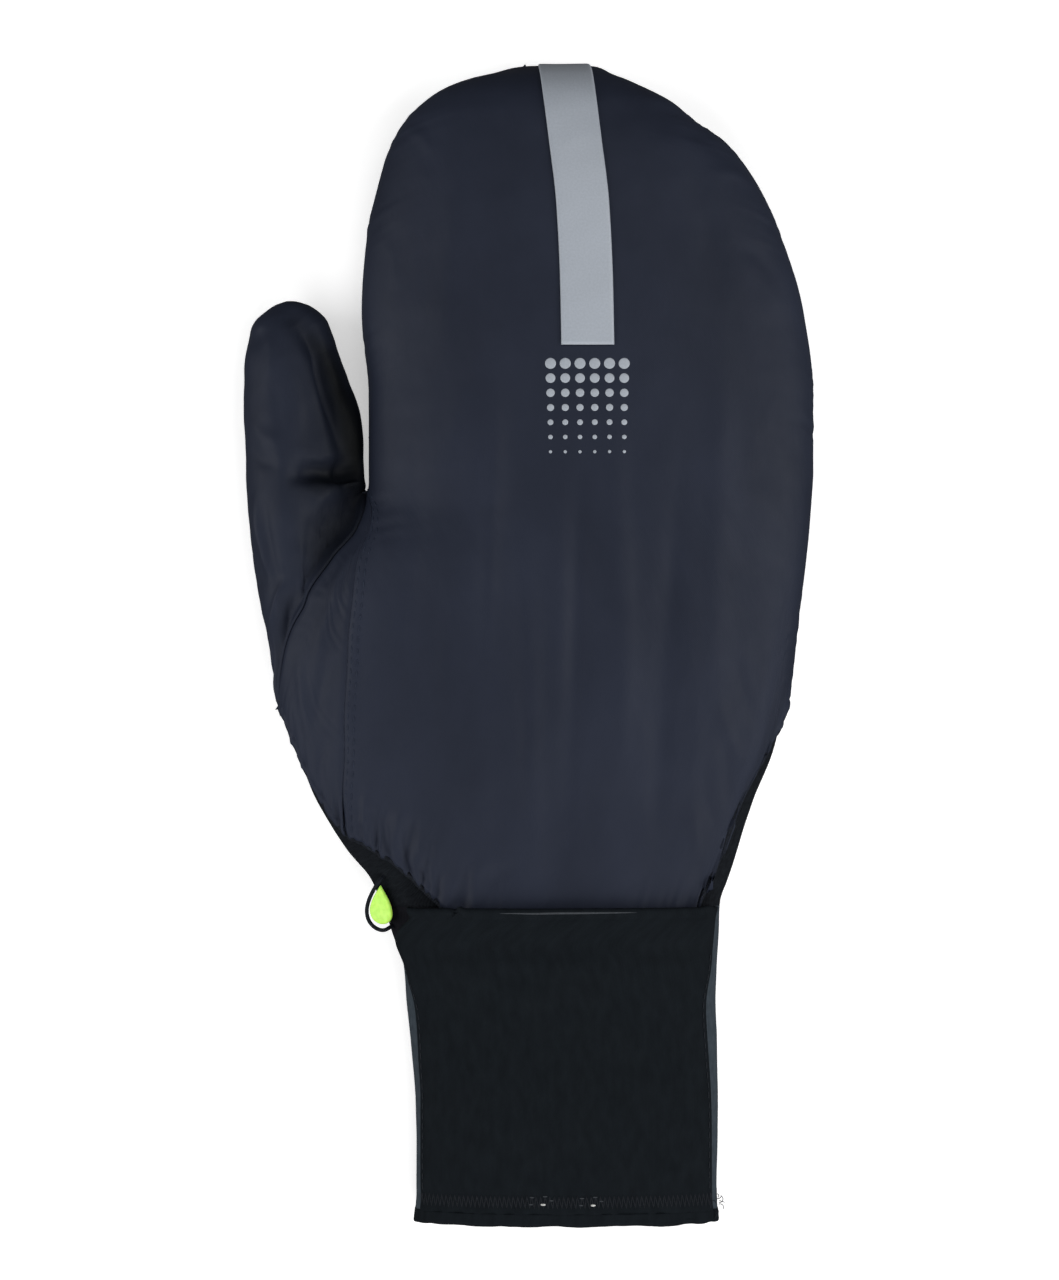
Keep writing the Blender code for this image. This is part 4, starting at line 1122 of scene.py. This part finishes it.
def on_grid(grid, row, column):
    """Values of a grid between its rows and columns."""
    low_row = np.clip(np.floor(row).astype(int), 0, grid.shape[0] - 2)
    low_column = np.clip(np.floor(column).astype(int), 0, grid.shape[1] - 2)
    down, over = (row - low_row)[..., None], (column - low_column)[..., None]
    upper = mix(grid[low_row, low_column], grid[low_row, low_column + 1], over)
    lower = mix(grid[low_row + 1, low_column], grid[low_row + 1, low_column + 1], over)
    return mix(upper, lower, down)


def draped(points, normals, x, y):
    """Points of a grid's surface over places, and the directions out of it there."""
    flat, out = points.reshape(-1, 3), normals.reshape(-1, 3)
    nearest = [np.argmin((flat[:, 0] - a) ** 2 + (flat[:, 1] - b) ** 2) for a, b in zip(x, y)]
    near, up = flat[nearest], out[nearest]
    z = near[:, 2] - ((x - near[:, 0]) * up[:, 0] + (y - near[:, 1]) * up[:, 1]) / up[:, 2]
    return np.stack([x, y, z], -1), up


def zigzag(points, normals, depths, pitch, radius):
    """A thread that runs to and fro between two distances from a grid's last row, all the way across it."""
    reach = lengths_along(points, 1)[-1]
    row_step = lengths_along(points, 0)[-1].mean() / (len(points) - 1)
    swings = 2 * int(reach[-1] / pitch)
    steps = np.linspace(0, swings, swings * 4 + 1)
    column = np.interp(mix(0.006, 0.994, steps / swings) * reach[-1], reach, np.arange(len(reach)))
    row = len(points) - 1 - mix(depths[0], depths[1], np.abs(steps % 2 - 1)) / row_step
    up = unit(on_grid(normals, row, column))
    line = on_grid(points, row, column) + up * radius * 0.4
    line[:, 2] = np.maximum(line[:, 2], radius)
    return sweep(line, radius, up, sides=6, flat=0.8)


# Stitches: length, gap and radius of the thread
SEAM_STITCH = (0.0021, 0.0007, 0.00016)
SEAM_ROWS_OF_STITCHES = (0.0010, 0.0026)
CUFF_STITCH = (0.0019, 0.0006, 0.00014)
POCKET_STITCH_LINE = 0.0018
POCKET_STITCHES_START_PX = 952.0
HEM_ZIGZAG = ((0.0016, 0.0049), 0.00115, 0.00011)
# A painted highlight: where the folded edge of the pocket catches the light, a thin grey thread stands for it
EDGE_HIGHLIGHT_PX = (494.0, 640.0)
EDGE_HIGHLIGHT_RADII = (0.00008, 0.00032)
EDGE_HIGHLIGHT_SUNK = 0.0001
# Bar tacks in pale thread near the mouth of the cuff, and the dull ones beside each
PALE_TACKS_PX = ((543.0, 1199.5), (592.5, 1200.2))
DULL_TACKS_PX = ((-11, -7), (-12, 0), (2, -8), (8, -4))
TACK_LENGTH = 0.0009
TACK_RADII = (0.00026, 0.00016)
# A plain pattern of round silver spots below the tape, which get smaller towards the wrist
SPOTS_CENTRE_PX = (586.0, 413.0)
SPOT_PITCH = 0.0036
SPOT_COUNTS = (6, 7)
SPOT_RADII = (0.00135, 0.00040)
SPOT_SIDES = 20
# From a spot's edge inside the cloth to its top: share of its radius, and height over the cloth
SPOT_PROFILE = ((1.0, -0.00020), (1.0, 0.00003), (0.85, 0.00009))
# Loose thread ends: how many, where they start, how long they are, and their radius
THREAD_ENDS = 9
THREAD_END_STATIONS = (-0.985, -0.915)
THREAD_END_ANGLES = (0.05, 0.35)
THREAD_END_LENGTHS = (0.0012, 0.0030)
THREAD_END_RADIUS = 0.00010
UPWARD = np.array([0.0, 0.0, 1.0])


def seam_stitching():
    """Two rows of stitches on the back, beside the seam of the thumb panel."""
    points, normals = GRIDS["hood_back"]
    sewn = points[:, 0, 1] < y_at(SEAM_ROWS[-2][0])
    parts = []
    for distance in SEAM_ROWS_OF_STITCHES:
        line, up = beside(points[sewn], normals[sewn], distance)
        parts += stitches(line, up, *SEAM_STITCH)
    return joined("hood_seam_stitches", parts, NAVY_THREAD)


def cuff_stitching():
    """A row of stitches down each side of the pocket, and the zigzag round the cuff's mouth."""
    points, normals = GRIDS["cuff_pocket"]
    parts = []
    sewn = points[:, 0, 1] < at_photo(0, POCKET_STITCHES_START_PX)[1]
    for distance in (POCKET_STITCH_LINE, -POCKET_STITCH_LINE):
        line, up = beside(points[sewn], normals[sewn], distance)
        parts += stitches(line, up, *CUFF_STITCH)
    parts.append(zigzag(points, normals, *HEM_ZIGZAG))
    points, normals = GRIDS["cuff_tube"]
    half = points.shape[1] // 2
    parts.append(zigzag(points[:, half:], normals[:, half:], *HEM_ZIGZAG))
    return joined("cuff_stitches", parts, CUFF_THREAD)


def bar_tacks(name, places, look, radius):
    """Short stitches across the cuff at places of the photograph."""
    points, normals = GRIDS["cuff_pocket"]
    parts = []
    for place in places:
        x, y = at_photo(*place)
        line, up = draped(points, normals, x + TACK_LENGTH * (spaced(6) - 0.5), np.full(7, y))
        rise = np.sin(HALF_TURN * spaced(6))[:, None]
        parts.append(sweep(line + up * radius * (rise - 0.7), radius, up[3], sides=8))
    return joined(name, parts, look)


def loose_threads():
    """Ends of the hem's thread that stick out of its corner on the little finger's side."""
    draw = np.random.default_rng(5)
    share = spaced(12)
    rise = 0.4 * np.sin(HALF_TURN * share) * len(share) * 0.3
    parts = []
    for _ in range(THREAD_ENDS):
        along = draw.uniform(*THREAD_END_STATIONS)
        angle = HALF_TURN - draw.uniform(*THREAD_END_ANGLES)
        start = skin(np.array(angle), np.array(along), CUFF_CLOTH * 0.2)
        heading = draw.uniform(-1.0, 0.8) + draw.uniform(-3.0, 3.0) * share
        step = draw.uniform(*THREAD_END_LENGTHS) / len(share)
        path = start + np.stack([np.cumsum(np.cos(heading)), np.cumsum(np.sin(heading)), rise], -1) * step
        parts.append(sweep(path, THREAD_END_RADIUS, UPWARD, sides=5))
    return joined("hem_thread_ends", parts, CUFF_THREAD)


def pocket_edge():
    """A painted highlight on the pocket's upper edge: a thin grey thread where its folded cloth catches the
    light in its middle.
    """
    points, normals = GRIDS["cuff_pocket"]
    first, last = (at_photo(x, 0)[0] for x in EDGE_HIGHLIGHT_PX)
    lit = (points[1, :, 0] > first) & (points[1, :, 0] < last)
    line, up = resampled(points[1, lit], 0.0008, normals[1, lit])
    thick = np.sin(HALF_TURN * spaced(len(line) - 1))
    thinnest, thickest = EDGE_HIGHLIGHT_RADII
    parts = [sweep(line - up * EDGE_HIGHLIGHT_SUNK, thinnest + (thickest - thinnest) * thick, up, sides=8)]
    return joined("pocket_edge_painted_highlight", parts, GREY_THREAD_AND_HIGHLIGHT)


def silver_spots():
    """Rows of round spots printed on the hood, each a low disc that follows the cloth."""
    points, normals = GRIDS["hood_back"]
    centre = np.array(at_photo(*SPOTS_CENTRE_PX))
    across, down = SPOT_COUNTS
    turn = FULL_TURN * np.arange(SPOT_SIDES) / SPOT_SIDES
    parts = []
    for row in range(down):
        radius = mix(*SPOT_RADII, row / (down - 1))
        for column in range(across):
            x, y = centre + SPOT_PITCH * np.array([column - (across - 1) / 2, (down - 1) / 2 - row])
            rings = []
            for size, height in SPOT_PROFILE:
                reach = size * radius
                ring, up = draped(points, normals, x + reach * np.cos(turn), y + reach * np.sin(turn))
                rings.append(ring + up * height)
            faces = quads(3, SPOT_SIDES, closed=True).tolist()
            faces += [list(range(SPOT_SIDES)), list(range(2 * SPOT_SIDES, 3 * SPOT_SIDES))[::-1]]
            parts.append((np.concatenate(rings), faces))
    return joined("silver_spot_print", parts, SILVER)


# The pull tab: its size, how it leans, and where on the wrist it is sewn
TAB_LENGTH = 0.0100
TAB_WIDTH = 0.0076
TAB_THICKNESS = 0.0012
TAB_POINT = 1.2
TAB_FULLNESS = 1.16
TAB_SIDES = 72
# From the middle of its top to its edge: share of the outline, and height as a share of the thickness
TAB_PROFILE = (
    (0.00, 0.30), (0.30, 0.30), (0.55, 0.33), (0.70, 0.44),
    (0.84, 0.50), (0.94, 0.40), (0.99, 0.18), (1.00, 0.00),
)
TAB_UNDERSIDE = 0.9
TAB_TURNS = (math.radians(14), math.radians(-30), math.radians(-6))
TAB_SEAT = (0.145 * HALF_TURN, 0.003)
TAB_CORD_RADIUS = 0.0005
TAB_BOUND = (0.47, 0.93)
# Steps by which the loop's ends run on to the glove from its own bend
LOOP_FOOT = ((0.0008, 0.0006, -0.0005), (0.0017, 0.0012, -0.0016), (0.0026, 0.0016, -0.0032))
LOOP_HEAD = ((0.0008, 0.0008, -0.0006), (0.0014, 0.0016, -0.0018), (0.0018, 0.0022, -0.0032))


def teardrop(share, grow=0.0):
    """Points of the tab's outline, from its pointed end at 0 once round."""
    turn = FULL_TURN * np.asarray(share, float)
    width = TAB_WIDTH / 2 * np.sin(turn) * np.abs(np.sin(turn / 2)) ** TAB_POINT * TAB_FULLNESS
    flat = np.stack([width, TAB_LENGTH / 2 * np.cos(turn), np.zeros_like(turn)], -1)
    return flat * (1 + grow / (TAB_WIDTH / 2))


def seated(points):
    """Points of the flat tab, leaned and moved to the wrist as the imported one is."""
    turn = np.array(Euler(TAB_TURNS).to_matrix())
    seat = skin(np.array(TAB_SEAT[0]), np.array(TAB_SEAT[1]), FIT_GAP + TAB_THICKNESS)
    tilt = TAB_TURNS[1]
    centre = seat + np.array([-TAB_WIDTH / 2 * math.cos(tilt), 0, TAB_WIDTH / 2 * math.sin(tilt)])
    return points @ turn.T + centre


def wrist_tab():
    """The neon pull tab, a soft moulded drop with a rolled rim and a shallow dish in its middle."""
    outline = teardrop(np.arange(TAB_SIDES) / TAB_SIDES)
    middle, *rings = TAB_PROFILE
    rings += [(size, -height * TAB_UNDERSIDE) for size, height in reversed(rings[:-1])]
    points = []
    for size, height in rings:
        ring = outline * size
        ring[:, 2] = height * TAB_THICKNESS
        points.append(seated(ring))
    rows = len(points)
    faces = quads(rows, TAB_SIDES, closed=True).tolist()
    heights = (middle[1], -middle[1] * TAB_UNDERSIDE)
    ends = [seated(np.array([[0.0, 0.0, height * TAB_THICKNESS]])) for height in heights]
    vertices = np.vstack([*points, *ends])
    for k in range(TAB_SIDES):
        following = (k + 1) % TAB_SIDES
        faces.append((rows * TAB_SIDES, following, k))
        faces.append((rows * TAB_SIDES + 1, (rows - 1) * TAB_SIDES + k, (rows - 1) * TAB_SIDES + following))
    mesh = mesh_of("wrist_tab_drop", vertices, faces, vertices)
    return add_piece("wrist_tab_drop", mesh, NEON, "wrist_tab")


def tab_loop():
    """The thin black binding round the tab's outer side."""
    share = mix(TAB_BOUND[0], TAB_BOUND[1], spaced(40))
    path = seated(teardrop(share, 1.6 * (TAB_CORD_RADIUS + FIT_GAP)))
    below, above = (path[end] + np.array(steps) for end, steps in ((0, LOOP_FOOT), (-1, LOOP_HEAD)))
    path = resampled(np.vstack([below[::-1], path, above]), TAB_CORD_RADIUS)
    for _ in range(6):
        path[1:-1] = (path[:-2] + 2 * path[1:-1] + path[2:]) / 4
    parts = [sweep(path, TAB_CORD_RADIUS, UPWARD, sides=10)]
    return joined("tab_loop_binding", parts, ELASTIC, "tab_loop")


class Look:
    """A material whose patterns follow each point's place on its cloth. Sizes and heights are in metres."""

    def __init__(self, name, colour, roughness, specular):
        self.material = bpy.data.materials.new(name)
        self.material.use_nodes = True
        self.tree = self.material.node_tree
        self.inputs = self.tree.nodes["Principled BSDF"].inputs
        self.inputs["Base Color"].default_value = (*colour, 1.0)
        self.inputs["Roughness"].default_value = roughness
        self.inputs["Specular IOR Level"].default_value = specular
        self.place = self.add("Attribute", {}, attribute_name="cloth")["Vector"]

    def add(self, kind, inputs, **settings):
        """Outputs of a new node. Each of its inputs is a value or another node's output."""
        node = self.tree.nodes.new("ShaderNode" + kind)
        for name, value in settings.items():
            setattr(node, name, value)
        for name, value in inputs.items():
            self.feed(node.inputs[name], value)
        return node.outputs

    def feed(self, socket, value):
        if isinstance(value, bpy.types.NodeSocket):
            self.tree.links.new(value, socket)
        else:
            socket.default_value = value

    def maths(self, operation, *values):
        return self.add("Math", dict(enumerate(values)), operation=operation)[0]

    def noise(self, size, detail=3.0, stretch=(1.0, 1.0, 1.0)):
        """Soft noise whose spots are about one size across, stretched along some axes."""
        scale = [1 / (size * share) for share in stretch]
        mapped = self.add("Mapping", {"Vector": self.place, "Scale": scale})
        return self.add("TexNoise", {"Vector": mapped[0], "Scale": 1.0, "Detail": detail})["Fac"]

    def waves(self, axis, length):
        """A sine wave across the cloth or along it."""
        parts = self.add("SeparateXYZ", {0: self.place})
        return self.maths("SINE", self.maths("MULTIPLY", parts[axis], FULL_TURN / length))

    def weave(self, length):
        """Threads that pass over and under each other, from -1 to 1."""
        return self.maths("MULTIPLY", self.waves(0, length), self.waves(1, length))

    def ribs(self, pitch):
        """Fine ribs that run along the glove, from 0 to 1."""
        return self.maths("ABSOLUTE", self.waves(0, 2 * pitch))

    def blended(self, share, first, second):
        """The colour goes from the first to the second with a share."""
        mixed = self.add("Mix", {"A": first, "B": second, "Factor": share}, data_type="RGBA")
        self.feed(self.inputs["Base Color"], mixed["Result"])

    def tinted(self, factor, dark, light, low=0.3, high=0.7):
        """The colour varies between two tints of the cloth as a factor goes from low to high."""
        share = self.add("MapRange", {"Value": factor, "From Min": low, "From Max": high})[0]
        self.blended(share, (*dark, 1.0), (*light, 1.0))

    def shaded_by(self, name, colour):
        """Where the named attribute of the mesh is 1, the cloth has another colour."""
        share = self.add("Attribute", {}, attribute_name=name)["Fac"]
        self.blended(share, self.inputs["Base Color"].links[0].from_socket, (*colour, 1.0))

    def rough(self, factor, low, high):
        """The roughness goes from low to high with a factor."""
        spread = self.add("MapRange", {"Value": factor, "To Min": low, "To Max": high})
        self.feed(self.inputs["Roughness"], spread[0])

    def bumped(self, *layers):
        """Relief finer than the mesh: each layer is a height and how high its full range stands."""
        below = {}
        for height, reach in layers:
            out = self.add("Bump", {"Strength": 1.0, "Distance": reach, "Height": height, **below})["Normal"]
            below = {"Normal": out}
        self.feed(self.inputs["Normal"], out)


def coated_nylon():
    look = Look("coated_nylon", (0.016, 0.020, 0.034), 0.55, 0.12)
    patches = look.noise(0.030, 4.0, (1.0, 1.8, 1.0))
    look.tinted(patches, (0.0135, 0.0170, 0.0290), (0.0190, 0.0235, 0.0395), 0.32, 0.68)
    # Painted shade: the colour goes nearly black in the thumb cover's deep folds
    look.shaded_by("painted_fold_shade", (0.0012, 0.0018, 0.0022))
    look.rough(look.noise(0.006), 0.46, 0.64)
    look.bumped((look.noise(0.0035, 2.0, (1.0, 2.2, 1.0)), 0.00012), (look.weave(0.00046), 0.000008))
    return look.material


def dark_elastic():
    look = Look("dark_elastic", (0.008, 0.010, 0.014), 0.7, 0.1)
    look.tinted(look.noise(0.0008), (0.005, 0.006, 0.009), (0.012, 0.015, 0.021))
    look.bumped((look.weave(0.0009), 0.00005))
    return look.material


def black_knit():
    look = Look("black_knit", (0.006, 0.007, 0.010), 0.85, 0.08)
    look.tinted(look.noise(0.0012, 5.0), (0.004, 0.005, 0.007), (0.009, 0.011, 0.014))
    look.bumped((look.ribs(0.0009), 0.00006), (look.noise(0.0006), 0.00008))
    return look.material


def black_stretch():
    look = Look("black_stretch", (0.0055, 0.0075, 0.0098), 0.8, 0.06)
    streaks = look.noise(0.0022, 6.0, (1.0, 2.5, 1.0))
    look.tinted(streaks, (0.0045, 0.0062, 0.0082), (0.0066, 0.0090, 0.0116))
    look.rough(look.noise(0.010), 0.70, 0.90)
    look.bumped((look.ribs(0.0007), 0.00003), (look.noise(0.0005), 0.00005))
    return look.material


def grey_stretch():
    look = Look("grey_stretch", (0.036, 0.046, 0.056), 0.85, 0.1)
    streaks = look.noise(0.0010, 5.0, (1.0, 2.0, 1.0))
    look.tinted(streaks, (0.029, 0.038, 0.047), (0.043, 0.055, 0.067))
    look.shaded_by("dark_end", (0.006, 0.006, 0.009))
    look.bumped((look.ribs(0.0008), 0.00005), (look.noise(0.0005), 0.00006))
    return look.material


def silver_tape():
    look = Look("silver_tape", (0.33, 0.36, 0.41), 0.45, 0.5)
    look.tinted(look.noise(0.0005, 6.0), (0.325, 0.355, 0.400), (0.360, 0.392, 0.440), 0.35, 0.65)
    look.bumped((look.noise(0.0004, 2.0), 0.000014))
    return look.material


def neon_rubber():
    look = Look("neon_rubber", (0.55, 0.95, 0.12), 0.42, 0.4)
    look.tinted(look.noise(0.0012), (0.48, 0.88, 0.10), (0.60, 1.0, 0.16))
    look.inputs["Subsurface Weight"].default_value = 0.15
    look.inputs["Subsurface Scale"].default_value = 0.001
    look.bumped((look.noise(0.0006), 0.00002))
    return look.material


def thread(name, colour):
    """Twisted thread."""
    look = Look(name, colour, 0.6, 0.15)
    look.tinted(look.noise(0.0006), tuple(0.7 * share for share in colour), colour)
    look.bumped((look.noise(0.0003), 0.00004))
    return look.material


# Each look is a material and the name of its slot
NYLON = coated_nylon(), "hood_nylon"
NAVY_THREAD = thread("navy_thread", (0.019, 0.026, 0.046)), "hood_nylon"
CUFF_THREAD = thread("cuff_thread", (0.012, 0.014, 0.019)), "cuff_black"
# Grey thread for the dull bar tacks, and for the painted highlight along the pocket's edge
GREY_THREAD_AND_HIGHLIGHT = thread("grey_thread_and_edge_highlight", (0.050, 0.056, 0.064)), "cuff_grey"
PALE_THREAD = thread("pale_thread", (0.62, 0.62, 0.60)), "cuff_grey"
ELASTIC = dark_elastic(), "hem_elastic"
KNIT = black_knit(), "glove_knit"
BLACK_CUFF = black_stretch(), "cuff_black"
GREY_CUFF = grey_stretch(), "cuff_grey"
SILVER = silver_tape(), "silver_tape"
NEON = neon_rubber(), "neon_rubber"

hood_back_piece = hood_back()
panel_piece = hood_thumb_panel()
palm_piece = hood_palm()
thumb_piece = thumb_cover()
hand_piece = glove_hand()
tube_piece = cuff_tube()
pocket_piece = cuff_pocket()
cuff_hem_piece = cuff_hem()
hem_piece = hood_hem()
stripe_piece = reflective_stripe()
wrist_tab()
tab_loop()
seam_thread = seam_stitching()
cuff_thread = cuff_stitching()
pale_tacks = bar_tacks("pale_bar_tacks", PALE_TACKS_PX, PALE_THREAD, TACK_RADII[0])
dull_places = [(x + dx, y + dy) for x, y in PALE_TACKS_PX for dx, dy in DULL_TACKS_PX]
dull_tacks = bar_tacks("dull_bar_tacks", dull_places, GREY_THREAD_AND_HIGHLIGHT, TACK_RADII[1])
loose_ends = loose_threads()
edge_highlight = pocket_edge()
spots = silver_spots()


# Lamps: name, place, size in metres and power in watts
LAMPS = (
    ("left", (-1.10, -0.10, 0.55), 1.1, 12.0),
    ("right", (1.10, -0.05, 0.60), 1.1, 13.0),
    ("front", (0.15, -1.10, 0.75), 1.0, 9.0),
    ("above", (0.25, 0.55, 1.30), 0.8, 3.0),
)


def studio():
    """A pale floor, soft light from all sides, and a camera straight above the glove."""
    reach = 3.0
    corners = [(-reach, -reach, 0), (reach, -reach, 0), (reach, reach, 0), (-reach, reach, 0)]
    floor_mesh = bpy.data.meshes.new("floor")
    floor_mesh.from_pydata(corners, [], [(0, 1, 2, 3)])
    paper = Look("paper", (0.93, 0.93, 0.93), 0.9, 0.1)
    paper.inputs["Emission Color"].default_value = (1.0, 1.0, 1.0, 1.0)
    paper.inputs["Emission Strength"].default_value = 0.45
    floor_mesh.materials.append(paper.material)
    floor = bpy.data.objects.new("floor", floor_mesh)
    bpy.context.scene.collection.objects.link(floor)
    floor.visible_diffuse = False
    floor.visible_glossy = False
    floor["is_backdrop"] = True

    for name, spot, size, power in LAMPS:
        light = bpy.data.lights.new(name, "AREA")
        light.energy = power
        light.size = size
        lamp = bpy.data.objects.new(name, light)
        lamp.location = spot
        lamp.rotation_euler = (-Vector(spot)).to_track_quat("-Z", "Y").to_euler()
        bpy.context.scene.collection.objects.link(lamp)

    world = bpy.data.worlds.new("studio")
    world.use_nodes = True
    background = world.node_tree.nodes["Background"].inputs
    background["Color"].default_value = (1.0, 1.0, 1.0, 1.0)
    background["Strength"].default_value = 0.09
    bpy.context.scene.world = world
    bpy.context.scene.view_settings.view_transform = "Standard"

    camera_data = bpy.data.cameras.new("camera")
    camera_data.lens, camera_data.sensor_width = LENS
    camera = bpy.data.objects.new("camera", camera_data)
    x, y = at_photo(PICTURE_PX[0] / 2, PICTURE_PX[1] / 2)
    camera.location = (x, y, OUTLINE_Z + PICTURE_PX[1] * PIXEL * LENS[0] / LENS[1])
    bpy.context.scene.collection.objects.link(camera)
    bpy.context.scene.camera = camera


studio()

plain = {"cad_low": list(LOW), "cad_high": list(HIGH)}
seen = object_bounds()
plain["seen_low"], plain["seen_high"] = list(seen[0]), list(seen[1])
